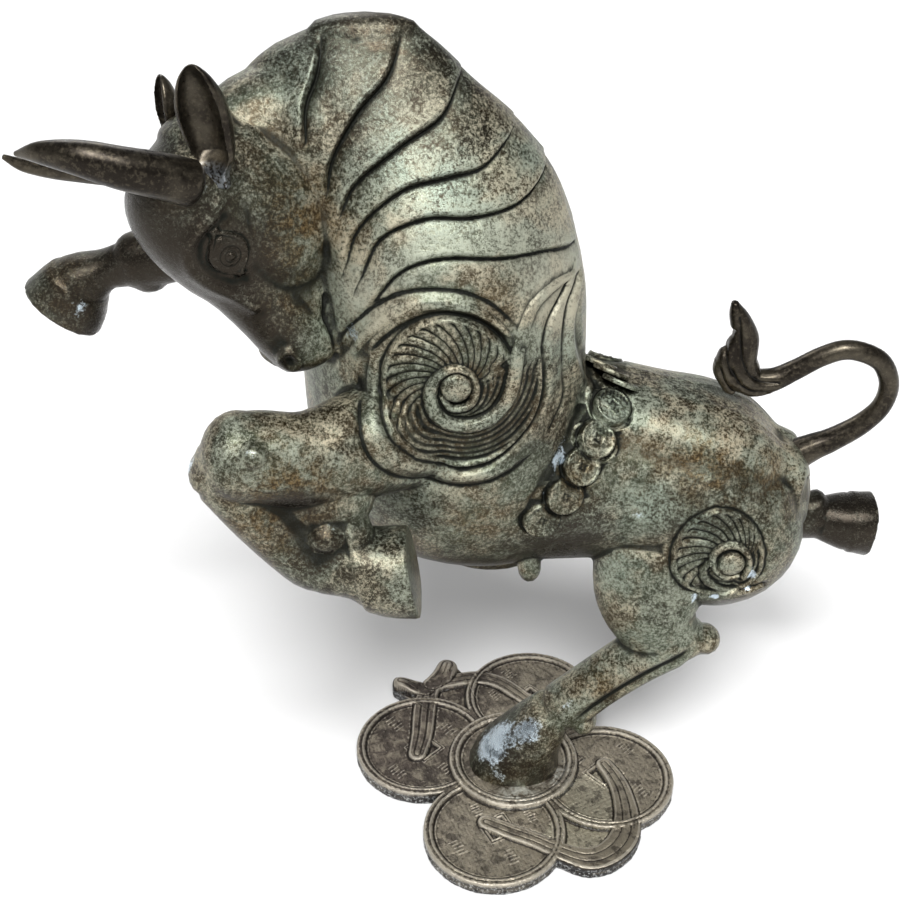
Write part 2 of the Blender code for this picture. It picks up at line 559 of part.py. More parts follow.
def carving(points, normals):
    """Height of all the carving at points of the plain form."""
    local = (points - HEAD_ORIGIN) @ np.array(HEAD_AXES).T
    skull = np.linalg.norm((local - (45, 0, -10)) / (68, 34, 42), axis=1)
    head = 1 - step(skull - 1.0, 0.03)
    facing = step(np.abs(normals[:, 1]) - 0.16, 0.05)
    clear_of_leg = step(MIDDLE_Y + 36 - np.abs(points[:, 1] - MIDDLE_Y) + 35, 1.0)
    leg = (points[:, 2] < 262) & (points[:, 0] < -40)
    height = side_carving(points) * step(points[:, 0] + 104, 1.5) * (1 - head) * facing
    height = height * np.where(leg, clear_of_leg, 1)
    strap = strap_carving(points, normals)
    height = np.where(np.abs(strap) > 0.02, strap, height)
    return height + head * head_carving(local) + leg_carving(points)


def carve(mesh):
    """Raise and cut a skin along its normals."""
    points, _ = mesh_arrays(mesh)
    normals = np.empty(len(mesh.vertices) * 3)
    mesh.vertices.foreach_get("normal", normals)
    normals = normals.reshape(-1, 3)
    height = carving(points, normals)
    points = points + normals * height[:, None]
    mesh.vertices.foreach_set("co", points.ravel())
    mesh.update()
    return 1 - np.clip(np.abs(height) / 0.8, 0, 1)


def thin_out(obj, triangles, plain=None):
    """Bring a skin down to a number of triangles, most of all where it is plain."""
    obj.data.calc_loop_triangles()
    fewer = obj.modifiers.new("Thin", "DECIMATE")
    fewer.ratio = min(1.0, triangles / len(obj.data.loop_triangles))
    fewer.use_collapse_triangulate = True
    if plain is not None:
        group = obj.vertex_groups.new(name="plain")
        for level in range(11):
            chosen = np.flatnonzero(np.round(plain * 10) == level)
            group.add(chosen.tolist(), 0.25 + 0.75 * level / 10, "REPLACE")
        fewer.vertex_group = group.name
        fewer.vertex_group_factor = PLAIN_FACTOR
    settle(obj)
    obj.vertex_groups.clear()


def settle(obj):
    """Make the mesh what the modifiers show, and leave none of them on the object."""
    evaluated = obj.evaluated_get(bpy.context.evaluated_depsgraph_get())
    skin = bpy.data.meshes.new_from_object(evaluated)
    obj.modifiers.clear()
    old = obj.data
    obj.data = skin
    bpy.data.meshes.remove(old)


def cut_flat(bm, point, normal, reach=60.0):
    """Take away what lies behind a plane, and close the cut with a flat face."""
    verts = [v for v in bm.verts if (v.co - Vector(point)).length < reach]
    edges = {e for v in verts for e in v.link_edges}
    faces = {f for v in verts for f in v.link_faces}
    geometry = list({v for f in faces for v in f.verts}) + list(edges) + list(faces)
    made = bmesh.ops.bisect_plane(bm, geom=geometry, plane_co=point, plane_no=normal,
                                  clear_inner=True)
    edges = [item for item in made["geom_cut"] if isinstance(item, bmesh.types.BMEdge)]
    bmesh.ops.contextual_create(bm, geom=edges)


# The base in plan, millimetres: where the ribbon runs and how wide it is
FRONT_RIBBON = ((-16, -45, 4.5), (-4, -51, 5), (10, -57.5, 5), (24, -65.5, 5.5), (38, -70, 7),
                (50, -64.5, 7.5), (58, -53, 7.5), (60, -38, 6.5), (58.5, -22, 5.5), (55, -11, 5),
                (51, -3, 4.5))
BACK_RIBBON = ((-54, 5, 5), (-51.5, 20, 6), (-50.5, 38, 6.5), (-49, 52, 6), (-46, 61, 5.5))
BACK_LOOP = ((-52, 58, 5), (-40, 63, 5), (-28, 66, 5), (-17, 67, 5), (-6, 63, 5), (3, 55, 5),
             (10, 48, 4.5))
RIBBON_ENDS = (((-50, 57, 5), (-58, 59, 5), (-65, 60, 4)),
               ((-46, 62, 5), (-40, 68, 6), (-37, 74, 6)))
HOLES = ((-50, 10, 45), (-10, -49, 28), (50, -9, 45), (12, 50, 45))
HOLE_SIDE = 13.0
FIELD_LEVEL = 6.4
SUNK_LEVEL = 5.2


def coin_centres():
    """Middles of the four outer coins, in plan."""
    turns = COIN_TURN + np.arange(4) * math.pi / 2
    return np.stack((np.cos(turns), np.sin(turns)), 1) * COIN_SPACING / MM


def base_inside(plan):
    """True where the base has metal."""
    inside = np.hypot(*plan.T) < CENTRE_COIN_RADIUS / MM
    for centre in coin_centres():
        inside |= np.hypot(*(plan - centre).T) < COIN_RADIUS / MM
    for path in (FRONT_RIBBON, BACK_RIBBON, BACK_LOOP) + RIBBON_ENDS:
        gap, _, half, _ = band_field(plan, path)
        inside |= gap < half + 0.6
    return inside


def base_height(plan):
    """Height of the base's upper side."""
    rim = RIM_WIDTH / MM
    high = RIM_HEIGHT / MM
    height = np.full(len(plan), SUNK_LEVEL)
    for centre in coin_centres():
        gap = COIN_RADIUS / MM - np.hypot(*(plan - centre).T)
        field = step(gap, 0.12) * (FIELD_LEVEL - SUNK_LEVEL)
        edge = high * step(gap, 0.15) * step(rim - gap, 0.2)
        line = 0.35 * groove(gap - rim - 1.6, 0.5)
        height = np.maximum(height, SUNK_LEVEL + field + edge + line)
    for x, y, turn in HOLES:
        c, s = math.cos(math.radians(turn)), math.sin(math.radians(turn))
        u, v = ((plan - (x, y)) @ np.array(((c, -s), (s, c)))).T
        square = np.maximum(np.abs(u), np.abs(v)) - HOLE_SIDE / 2
        height += 0.8 * groove(square, 0.8)
        height -= 1.2 * step(-square - 1.2, 0.3)
    for path in (BACK_LOOP, BACK_RIBBON, FRONT_RIBBON) + RIBBON_ENDS:
        gap, offset, half, _ = band_field(plan, path)
        folds = 0.5 * np.cos(offset / half * 3 * math.pi)
        over = FIELD_LEVEL + 1.3 + folds
        height = np.where(gap < half, np.maximum(height, over), height)
    for path in RIBBON_ENDS:
        gap, _, half, _ = band_field(plan, path)
        tip = np.array(path[-1][:2])
        height += step(half - gap, 0.3) * 4.5 * np.exp(-(np.hypot(*(plan - tip).T) / 7) ** 2)
    gap = CENTRE_COIN_RADIUS / MM - np.hypot(*plan.T)
    thick = BASE_THICKNESS / MM
    centre = thick + high * step(rim + 1 - gap, 0.2) * step(gap, 0.1)
    return np.where(gap > 0, centre, height)


def base_mesh(bm, rings, spokes):
    """The base as one solid: the carved upper side, an edge and a flat underside."""
    turns = np.linspace(0, math.tau, spokes, endpoint=False)
    rays = np.stack((np.cos(turns), np.sin(turns)), 1)
    reach = np.zeros(spokes)
    for r in np.arange(30, 100, 0.2):
        reach = np.where(base_inside(rays * r), r, reach)
    shares = np.concatenate((np.linspace(0.02, 0.97, rings), (0.985, 0.995, 1.0)))
    top = []
    for share in shares:
        plan = rays * (reach * share)[:, None]
        height = base_height(plan)
        if share > 0.99:
            height = height - (0.25 if share < 1 else 1.2)
        top.append([bm.verts.new((*p, h)) for p, h in zip(plan, height)])
    lower = [bm.verts.new((*p, 1.0)) for p in rays * reach[:, None]]
    under = [bm.verts.new((*p, 0.0)) for p in rays * (reach - 0.8)[:, None]]
    loops = top + [lower, under]
    for a, b in zip(loops, loops[1:]):
        for k in range(spokes):
            n = (k + 1) % spokes
            bm.faces.new((a[k], b[k], b[n], a[n]))
    for ring, flip in ((loops[0], 1), (loops[-1], -1)):
        middle = bm.verts.new((0, 0, base_height(np.zeros((1, 2)))[0] if flip == 1 else 0))
        for k in range(spokes):
            face = (middle, ring[k], ring[(k + 1) % spokes])
            bm.faces.new(face[::flip])


def ear_seat(bm, root, tip, half_width):
    """The room an ear's stem needs in the head, widening with the leaf."""
    root, tip = np.array(root, float), np.array(tip, float)
    along = (tip - root) / np.linalg.norm(tip - root)
    room = ((-6, 0.7), (0, 0.75), (6, 0.9), (12, 1.15), (20, 1.3))
    rows = [(*(root + along * reach), half_width * wide, half_width * wide)
            for reach, wide in room]
    loft(bm, rows, per_span=1, sides=12)


def ear_body(bm, root, tip, facing, half_width):
    """A cupped leaf on a short stem, its hollow towards the facing direction."""
    root, tip = np.array(root, float), np.array(tip, float)
    length = np.linalg.norm(tip - root)
    along = (tip - root) / length
    facing = np.array(facing, float)
    facing -= along * facing.dot(along)
    facing /= np.linalg.norm(facing)
    across = np.cross(facing, along)
    shape = np.array(EAR_SHAPE)
    columns = 6
    rings = []
    for t, width, cup, thick in shape:
        outer, inner = [], []
        for k in range(columns):
            a = (k / (columns - 1) - 0.5) * 2
            x = width * half_width * math.sin(a * math.pi / 2)
            back = -math.cos(a * math.pi / 2) * width * half_width * 0.62
            front = back * (1 - cup) + thick * (1 - a * a) + 0.5
            spot = root + along * (t * length) + across * x
            outer.append(bm.verts.new(spot + facing * (back + 1.0)))
            if 0 < k < columns - 1:
                inner.append(bm.verts.new(spot + facing * (front * (1 - cup) + (back + 2.2) * cup)))
        rings.append(outer + inner[::-1])
    for a, b in zip(rings, rings[1:]):
        for k in range(len(a)):
            n = (k + 1) % len(a)
            bm.faces.new((a[k], b[k], b[n], a[n]))
    bm.faces.new(rings[0])
    bm.faces.new(rings[-1][::-1])


# Along the ear: share of its length, of its half width, how hollow, half thickness of the stem
EAR_SHAPE = ((-0.25, 0.42, 0, 4), (0.0, 0.45, 0, 4), (0.14, 0.62, 0.5, 3), (0.3, 0.9, 1, 1.5),
             (0.5, 1.0, 1, 1), (0.7, 0.82, 1, 0.6), (0.87, 0.45, 1, 0.3), (1.0, 0.08, 0.6, 0.1))
EARS = (("ear_left", (-130, -20, 373), (-136, -25, 421), (-0.45, -1, 0.25), 11, EAR_LEFT_ROOT),
        ("ear_right", (-155, 18, 371), (-157, 21, 399), (-0.9, -0.4, 0.1), 8, EAR_RIGHT_ROOT))


def metal(name, color, metallic, roughness):
    made = bpy.data.materials.new(name)
    made.use_nodes = True
    surface = made.node_tree.nodes["Principled BSDF"]
    surface.inputs["Base Color"].default_value = (*color, 1)
    surface.inputs["Metallic"].default_value = metallic
    surface.inputs["Roughness"].default_value = roughness
    made.diffuse_color = (*color, 1)
    return made


def solid(name, build, collection, plane, reach=60.0, triangles=None, voxel=None):
    """Build a piece, join and thin it where asked, and cut its root flat."""
    bm = bmesh.new()
    build(bm)
    bmesh.ops.recalc_face_normals(bm, faces=bm.faces)
    made = new_object(name, bm, collection)
    if voxel:
        voxel_union(made, voxel)
        relax(made.data, 3)
    if triangles:
        thin_out(made, triangles)
    bm = bmesh.new()
    bm.from_mesh(made.data)
    cut_flat(bm, *plane, reach)
    bmesh.ops.triangulate(bm, faces=bm.faces)
    bmesh.ops.recalc_face_normals(bm, faces=bm.faces)
    bm.to_mesh(made.data)
    bm.free()
    return made


def seat(ox, cutter):
    """Sink a fitted seat into the ox."""
    cut = ox.modifiers.new("Seat", "BOOLEAN")
    cut.operation = "DIFFERENCE"
    cut.solver = "EXACT"
    cut.object = cutter
    settle(ox)
    bpy.data.objects.remove(cutter, do_unlink=True)


def sunk(plane, depth):
    """The same plane, a little further in."""
    point, normal = (Vector(v) for v in plane)
    return point - normal.normalized() * depth, normal


def widened(rows, extra):
    """The same stations with every half size larger."""
    return [(x, y, z, w + extra, d + extra) for x, y, z, w, d in rows]


def ox_forms(bm):
    trunk_forms(bm)
    hind_leg_forms(bm)
    fore_leg_forms(bm)
    head_forms(bm)


def main():
    for old in list(bpy.data.objects):
        bpy.data.objects.remove(old, do_unlink=True)
    parts = bpy.data.collections.new("Bronze ox")
    bpy.context.scene.collection.children.link(parts)
    green = metal("green_bronze", (0.16, 0.15, 0.10), 0.7, 0.45)
    dark = metal("dark_bronze", (0.07, 0.06, 0.05), 0.8, 0.35)
    brown = metal("brown_bronze", (0.12, 0.10, 0.09), 0.7, 0.45)

    bm = bmesh.new()
    ox_forms(bm)
    ox = new_object("ox", bm, parts)
    voxel_union(ox, VOXEL)
    relax(ox.data, 14)
    plain = carve(ox.data)
    thin_out(ox, OX_TRIANGLES, plain)

    gap = FIT_GAP / MM
    pieces = []
    for name, rows, (point, normal) in (("horn_left", NEAR_HORN, HORN_LEFT_ROOT),
                                        ("horn_right", FAR_HORN, HORN_RIGHT_ROOT)):
        pieces.append(solid(name, lambda bm: horn_body(bm, rows), parts, (point, normal)))
        seat(ox, solid("cutter", lambda bm: horn_body(bm, widened(rows[:4], 0.6)), parts,
                       sunk((point, normal), gap)))
    pieces.append(solid("tail", tail_forms, parts, TAIL_SEAT, 14.0, 440, 1.2))
    seat(ox, solid("cutter", lambda bm: loft(bm, widened(TAIL_ROOT, 0.7), per_span=1, sides=12),
                   parts, sunk(TAIL_SEAT, gap)))
    for name, root, tip, facing, width, plane in EARS:
        pieces.append(solid(name, lambda bm: ear_body(bm, root, tip, facing, width), parts,
                            plane))
        seat(ox, solid("cutter", lambda bm: ear_seat(bm, root, tip, width), parts,
                       sunk(plane, gap)))

    bm = bmesh.new()
    bm.from_mesh(ox.data)
    cut_flat(bm, (0, 0, FIGURE_SOLE + gap), (0, 0, 1), 30.0)
    bmesh.ops.triangulate(bm, faces=bm.faces)
    bm.to_mesh(ox.data)
    bm.free()
    stand = (Matrix.Translation((0, 0, BASE_THICKNESS)) @ Matrix.Scale(UNIT, 4)
             @ Matrix.Translation((0, 0, -FIGURE_SOLE)))
    for piece in pieces + [ox]:
        piece.data.transform(stand)
        piece.data.materials.clear()
        piece.data.materials.append(green if piece is ox else dark)

    bm = bmesh.new()
    base_mesh(bm, 64, 240)
    base = new_object("coin_base", bm, parts)
    thin_out(base, BASE_TRIANGLES)
    for vert in base.data.vertices:
        if vert.co.z < 0.4:
            vert.co.z = 0
    base.data.transform(Matrix.Scale(MM, 4))
    base.data.materials.append(brown)


if __name__ == "__main__":
    main()
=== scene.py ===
"""The looks of the bronze ox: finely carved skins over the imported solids, their patina,
a pale floor, soft light and the camera."""

import math

import bmesh
import bpy
import numpy as np
from mathutils import Matrix, Vector


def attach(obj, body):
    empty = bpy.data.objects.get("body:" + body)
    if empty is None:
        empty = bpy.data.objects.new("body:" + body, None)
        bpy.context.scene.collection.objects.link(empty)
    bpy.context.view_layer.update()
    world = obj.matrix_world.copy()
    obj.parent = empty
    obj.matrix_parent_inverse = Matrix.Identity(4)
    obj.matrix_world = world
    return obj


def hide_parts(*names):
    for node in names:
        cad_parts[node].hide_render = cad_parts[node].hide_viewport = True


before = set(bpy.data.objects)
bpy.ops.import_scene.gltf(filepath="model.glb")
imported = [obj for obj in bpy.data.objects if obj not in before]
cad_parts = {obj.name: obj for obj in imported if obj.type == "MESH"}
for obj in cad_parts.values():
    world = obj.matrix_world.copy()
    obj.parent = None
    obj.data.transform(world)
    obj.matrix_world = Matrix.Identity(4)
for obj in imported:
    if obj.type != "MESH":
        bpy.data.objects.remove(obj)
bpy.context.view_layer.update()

MM = 0.001
MIDDLE_Y = 35.0
COIN_RADIUS = 38.0
COIN_SPACING = 51.9
COIN_TURN = math.radians(-13.1)
CENTRE_COIN_RADIUS = 35.9
BASE_THICKNESS = 8.0
RIM_WIDTH = 5.0
RIM_HEIGHT = 1.6

# Fineness of the skins: cell sizes, triangles, and spokes and rings of the base
SKIN_VOXEL = 1.1
TAIL_VOXEL = 0.6
EAR_VOXEL = 0.45
OX_TRIANGLES = 196000
BASE_TRIANGLES = 190000
BASE_GRID = ((1000, 200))

# Head frame: poll, direction of the muzzle, the ox's left, and the forehead
HEAD_ORIGIN = np.array((-149.0, 0.0, 367.5))
HEAD_FORWARD = np.array((0.334, -0.162, -0.928))
HEAD_LEFT = np.array((0.487, -0.814, 0.318))
HEAD_UP = np.array((-0.807, -0.558, -0.193))


def smooth_path(stations, per_span):
    """Catmull-Rom values between the stations, every number of a station alike."""
    rows = np.array(stations, float)
    ends = np.vstack((2 * rows[0] - rows[1], rows, 2 * rows[-1] - rows[-2]))
    out = []
    for i in range(1, len(ends) - 2):
        a, b, c, d = ends[i - 1:i + 3]
        for t in np.arange(per_span) / per_span:
            out.append(0.5 * (2 * b + (c - a) * t + (2 * a - 5 * b + 4 * c - d) * t ** 2
                              + (3 * b - a - 3 * c + d) * t ** 3))
    out.append(ends[-2])
    return np.array(out)


def bridge(bm, rings, clockwise=True):
    """Faces between each ring of points and the next, and one at either end."""
    for a, b in zip(rings, rings[1:]):
        for k in range(len(a)):
            n = (k + 1) % len(a)
            second, fourth = (b[k], a[n]) if clockwise else (a[n], b[k])
            bm.faces.new((a[k], second, b[n], fourth))
    order = 1 if clockwise else -1
    bm.faces.new(rings[0][::order])
    bm.faces.new(rings[-1][::-order])


def loft(bm, stations, lateral=(0, 1, 0), plane=None, per_span=6, sides=28, square=2.0,
         dome=0.5):
    """A closed limb through stations of x, y, z, half width across and half depth.

    Across is the lateral direction, depth is square to it and to the path, or to the
    plane's normal where one is given. Each end is closed by a dome, as deep as a share
    of the end's smaller half size.
    """
    rows = smooth_path(stations, per_span)
    centres, widths, depths = rows[:, :3], rows[:, 3], rows[:, 4]
    if plane is None:
        normals = np.gradient(centres, axis=0)
    else:
        normals = np.tile(np.array(plane, float), (len(rows), 1))
    normals /= np.linalg.norm(normals, axis=1)[:, None]
    rings = [(centres[i], normals[i], widths[i], depths[i]) for i in range(len(rows))]
    for end, sign in ((0, -1), (-1, 1)):
        centre, normal, width, depth = rings[end]
        caps = []
        for angle in (30, 55, 75):
            lift = math.sin(math.radians(angle)) * dome * min(width, depth)
            shrink = math.cos(math.radians(angle)) if dome else 1.0
            caps.append((centre + sign * normal * lift, normal, width * shrink, depth * shrink))
        if dome:
            rings = caps[::-1] + rings if end == 0 else rings + caps
    turn = np.linspace(0, 2 * np.pi, sides, endpoint=False)
    power = 2.0 / square
    across = np.sign(np.cos(turn)) * np.abs(np.cos(turn)) ** power
    along = np.sign(np.sin(turn)) * np.abs(np.sin(turn)) ** power
    loops = []
    for centre, normal, width, depth in rings:
        side = np.array(lateral, float)
        side -= normal * side.dot(normal)
        side /= np.linalg.norm(side)
        deep = np.cross(normal, side)
        points = centre + np.outer(across * width, side) + np.outer(along * depth, deep)
        loops.append([bm.verts.new(p) for p in points])
    bridge(bm, loops, clockwise=False)


def ball(bm, centre, radii, axes=None):
    """An ellipsoid, on the world's axes or on three given ones."""
    basis = np.eye(3) if axes is None else np.array(axes, float)
    made = bmesh.ops.create_uvsphere(bm, u_segments=28, v_segments=18, radius=1.0)
    for vert in made["verts"]:
        vert.co = Vector(np.array(centre) + (np.array(vert.co) * np.array(radii)) @ basis)


def head_point(forward, left, up):
    """A point of the head's own frame, in the figure's."""
    return HEAD_ORIGIN + HEAD_FORWARD * forward + HEAD_LEFT * left + HEAD_UP * up


def head_stations(rows):
    """Stations given as forward, left, up, half width, half depth in the head's frame."""
    return [(*head_point(f, s, n), w, d) for f, s, n, w, d in rows]


HEAD_AXES = (HEAD_FORWARD, HEAD_LEFT, HEAD_UP)


def trunk_forms(bm):
    """Forequarters, hump, neck, barrel and rump."""
    m = MIDDLE_Y
    loft(bm, [(-14, m, 142, 24, 32), (-21, m, 151, 40, 50), (-30, m, 170, 54, 62),
              (-35, m, 205, 62, 69), (-38, m, 250, 64, 69), (-38, m, 290, 62, 67),
              (-45, m, 322, 55, 67), (-54, m, 348, 46, 66), (-67, m, 372, 36, 62),
              (-76, m, 390, 27, 52), (-76, m, 404, 18, 39), (-72, m, 413, 10, 25)],
         plane=(0, 0, 1), sides=40, dome=0.75)
    loft(bm, [(-70, m, 350, 36, 44), (-92, m - 3, 358, 34, 44), (-114, 27, 359, 29, 40),
              (-134, 14, 350, 24, 31)], sides=32)
    loft(bm, [(-20, m, 193, 56, 55), (20, m, 191, 50, 54), (46, m, 188, 44, 53),
              (72, m, 184, 45, 50), (96, m, 179, 48, 49), (116, m, 174, 43, 45),
              (132, m, 171, 31, 32)], plane=(1, 0, 0), sides=36, dome=0.6)


def hind_leg_forms(bm):
    """The standing left hind leg, and the right one kicked out behind."""
    ball(bm, (101, 14, 160), (44, 29, 45))
    loft(bm, [(73, 12, 150, 23, 36), (69, 6, 127, 20, 30), (72, 2, 111, 17, 24),
              (79, 0, 100, 14, 18)], dome=0.6)
    loft(bm, [(93, 1, 99, 11, 11), (81, 0, 98, 14, 16), (64, 0, 85, 13, 15),
              (47, 0, 70, 13, 14), (35, 0, 58, 13.5, 14), (26, 0, 49, 14, 14)])
    ball(bm, (99, 0, 98), (8, 9, 8))
    ball(bm, (37, 0, 42), (8, 13, 8))
    loft(bm, [(21, 0, 50, 13, 12), (15, 0, 41, 16, 15), (8, 0, 29, 19, 19), (2, 0, 17, 20.5, 23),
              (0, 0, 6, 21, 25.5)], plane=(0, 0, 1), square=2.3, dome=0)
    far = 2 * MIDDLE_Y
    ball(bm, (101, far - 14, 160), (44, 29, 45))
    loft(bm, [(92, far - 8, 140, 22, 30), (112, far, 130, 17, 21), (140, far + 4, 126, 12, 15),
              (162, far + 5, 123, 12, 14), (174, far + 5, 121, 11, 12)])
    ball(bm, (168, far + 5, 132), (6, 9, 6))
    loft(bm, [(172, far + 5, 121, 12, 12), (184, far + 5, 119, 16, 15),
              (199, far + 5, 117, 17, 17.5)], plane=(1, 0, -0.12), square=2.4, dome=0)


def fore_leg_forms(bm):
    """The folded left foreleg and the outstretched right one."""
    loft(bm, [(-45, -2, 238, 26, 28), (-72, -22, 239, 24, 27), (-100, -38, 240, 21, 23),
              (-122, -45, 246, 20, 22), (-133, -46, 244, 18, 22)], dome=0.6)
    ball(bm, (-96, -40, 219), (26, 15, 17))
    ball(bm, (-84, -45, 204), (13, 13, 13))
    ball(bm, (-137, -46, 241), (14, 16, 16))
    ball(bm, (-144, -46, 239), (9, 13, 10))
    ball(bm, (-130, -47, 248), (17, 20, 21))
    ball(bm, (-121, -61, 258), (6, 6, 6))
    ball(bm, (-92, -55, 208), (8, 7, 7))
    loft(bm, [(-137, -45, 236, 16, 15), (-124, -46, 219, 15, 16), (-111, -47, 203, 14, 16),
              (-99, -48, 191, 14, 16), (-92, -48, 186, 14, 13)])
    loft(bm, [(-98, -48, 189, 14, 15), (-84, -48, 188, 15.5, 17), (-76, -48, 184.5, 18, 20.5),
              (-66, -48, 182.5, 19.5, 21.5), (-52.3, -48, 182.5, 20.5, 21.5)],
         plane=(0.985, 0, 0.17), square=2.4, dome=0.0)
    far = 2 * MIDDLE_Y
    loft(bm, [(-60, far - 8, 255, 26, 30), (-100, far, 280, 20, 24), (-135, far + 6, 288, 15, 18),
              (-165, far + 8, 286, 14, 15), (-190, far + 8, 281, 14, 15),
              (-196, far + 8, 280, 13, 14)])
    ball(bm, (-187, far + 8, 271), (10, 10, 7))
    loft(bm, [(-192, far + 8, 280, 12, 13), (-207, far + 8, 276, 11, 10),
              (-217, far + 8, 271, 14, 14), (-225, far + 8, 264, 17, 19),
              (-233, far + 8, 254, 18, 22)], square=2.2, dome=0.12)


def head_forms(bm):
    """Skull, cheeks, muzzle and chin, in the head's frame."""
    loft(bm, head_stations([(-12, 0, -10, 18, 16), (-4, 0, -4, 25, 25), (6, 0, 1, 28, 29),
                            (20, 0, 1, 27, 31), (36, 0, -1, 25, 29), (50, 0, -5, 21, 26),
                            (62, 0, -9, 18, 22), (78, 0, -13, 16, 19), (92, 0, -18, 16, 19),
                            (101, 0, -20, 15, 17)]),
         lateral=HEAD_LEFT, plane=HEAD_FORWARD, sides=32, dome=0.45)
    loft(bm, head_stations([(2, 0, -16, 24, 26), (16, 0, -20, 27, 33), (34, 0, -23, 26, 34),
                            (50, 0, -24, 22, 28), (66, 0, -25, 17, 21), (82, 0, -26, 14, 15)]),
         lateral=HEAD_LEFT, plane=HEAD_FORWARD, sides=32, dome=0.5)
    for side in (-1, 1):
        ball(bm, head_point(33, side * 12, -25), (36, 16, 28), HEAD_AXES)
        ball(bm, head_point(94, side * 8.5, -8), (9, 7, 7), HEAD_AXES)
    loft(bm, head_stations([(74, 0, -30, 12, 11), (90, 0, -33, 12, 10), (98, 0, -33, 11, 9)]),
         lateral=HEAD_LEFT)


TAIL_ROOT = [(136, MIDDLE_Y, 189, 8, 8), (143, MIDDLE_Y, 193, 8, 8), (150, MIDDLE_Y, 197, 7, 7),
             (158, MIDDLE_Y, 201, 6.2, 6.2)]


def tail_forms(bm):
    """A tube that loops back over the rump, with a tuft of locks standing at its end."""
    m = MIDDLE_Y
    loft(bm, TAIL_ROOT
         + [(171, m, 210, 5.5, 5.5), (180, m, 221, 5, 5), (182, m, 234, 5, 5),
              (177, m, 246, 5, 5), (168, m, 252, 5, 5), (157, m, 254, 5, 5),
              (146, m, 250, 5, 5), (135, m, 243, 5.2, 5.2), (124, m, 237, 6, 6),
              (113, m, 236, 7, 8), (107, m, 243, 8, 10)], sides=16)
    loft(bm, [(107, m, 238, 8, 9), (107, m, 250, 7, 8), (108, m, 262, 6, 6.5),
              (104, m, 273, 5, 5), (101, m, 280, 2.5, 2)], plane=(0, 0, 1), sides=16)
    loft(bm, [(104, m, 233, 6, 5), (100, m, 243, 7, 6), (101, m, 255, 5, 4),
              (105, m, 264, 3, 2)], plane=(0, 0, 1), sides=16)


NEAR_HORN = [(-134, -21, 366, 10, 10), (-142, -27, 370.5, 10, 10), (-150, -31, 375, 9.7, 9.4),
             (-157, -34, 378, 9.4, 9), (-168, -37, 382, 8.8, 8.3), (-183, -38, 386.5, 7.4, 6.8),
             (-199, -34, 387, 4.8, 4.4), (-211, -28, 384, 1.2, 1.2)]
FAR_HORN = [(-157, 16, 353, 10, 10), (-164, 18.5, 354, 10, 10), (-172, 21, 355, 9.2, 9.2),
            (-184, 21, 356, 8.4, 8.4), (-196, 17, 358, 7, 7), (-208, 12, 360, 5, 5),
            (-219, 6, 364, 3, 3), (-226, 3, 369, 1.2, 1.2)]


def new_object(name, bm):
    """An object in the scene from the faces built so far."""
    mesh = bpy.data.meshes.new(name)
    bm.to_mesh(mesh)
    bm.free()
    made = bpy.data.objects.new(name, mesh)
    bpy.context.scene.collection.objects.link(made)
    return made


def settle(obj):
    """Make the mesh what the modifiers show, and leave none of them on the object."""
    evaluated = obj.evaluated_get(bpy.context.evaluated_depsgraph_get())
    skin = bpy.data.meshes.new_from_object(evaluated)
    obj.modifiers.clear()
    old = obj.data
    obj.data = skin
    bpy.data.meshes.remove(old)


def voxel_union(obj, size):
    """Melt all the forms of an object into one closed skin."""
    remesh = obj.modifiers.new("Union", "REMESH")
    remesh.mode = "VOXEL"
    remesh.voxel_size = size
    remesh.adaptivity = 0.0
    settle(obj)


def thin_out(obj, triangles, plain=None):
    """Bring a skin down to a number of triangles, most of all where it is plain."""
    obj.data.calc_loop_triangles()
    fewer = obj.modifiers.new("Thin", "DECIMATE")
    fewer.ratio = min(1.0, triangles / len(obj.data.loop_triangles))
    fewer.use_collapse_triangulate = True
    if plain is not None:
        group = obj.vertex_groups.new(name="plain")
        for level in range(11):
            chosen = np.flatnonzero(np.round(plain * 10) == level)
            group.add(chosen.tolist(), 0.25 + 0.75 * level / 10, "REPLACE")
        fewer.vertex_group = group.name
        fewer.vertex_group_factor = 1.5
    settle(obj)
    obj.vertex_groups.clear()


def mesh_arrays(mesh):
    """Points and edges as arrays."""
    points = np.empty(len(mesh.vertices) * 3)
    mesh.vertices.foreach_get("co", points)
    edges = np.empty(len(mesh.edges) * 2, int)
    mesh.edges.foreach_get("vertices", edges)
    return points.reshape(-1, 3), edges.reshape(-1, 2)


def vertex_normals(mesh):
    normals = np.empty(len(mesh.vertices) * 3)
    mesh.vertices.foreach_get("normal", normals)
    return normals.reshape(-1, 3)


def averaged(values, edges, rounds, share=0.5, shrink=1.0):
    """Values spread over their neighbours a number of times."""
    a, b = edges.T
    count = np.bincount(edges.ravel(), minlength=len(values))
    flat = values.reshape(len(values), -1).astype(float)
    for _ in range(rounds):
        for amount in ((share, -share * shrink) if shrink != 1.0 else (share,)):
            total = np.empty_like(flat)
            for k in range(flat.shape[1]):
                total[:, k] = (np.bincount(a, flat[b, k], len(flat))
                               + np.bincount(b, flat[a, k], len(flat)))
            flat = flat + amount * (total / count[:, None] - flat)
    return flat.reshape(values.shape)


def move(mesh, points):
    """Put the mesh's points in new places."""
    mesh.vertices.foreach_set("co", points.ravel())
    mesh.update()


def relax(mesh, rounds, share=0.5):
    """Smooth a mesh without letting it shrink much."""
    points, edges = mesh_arrays(mesh)
    move(mesh, averaged(points, edges, rounds, share, 1.03))


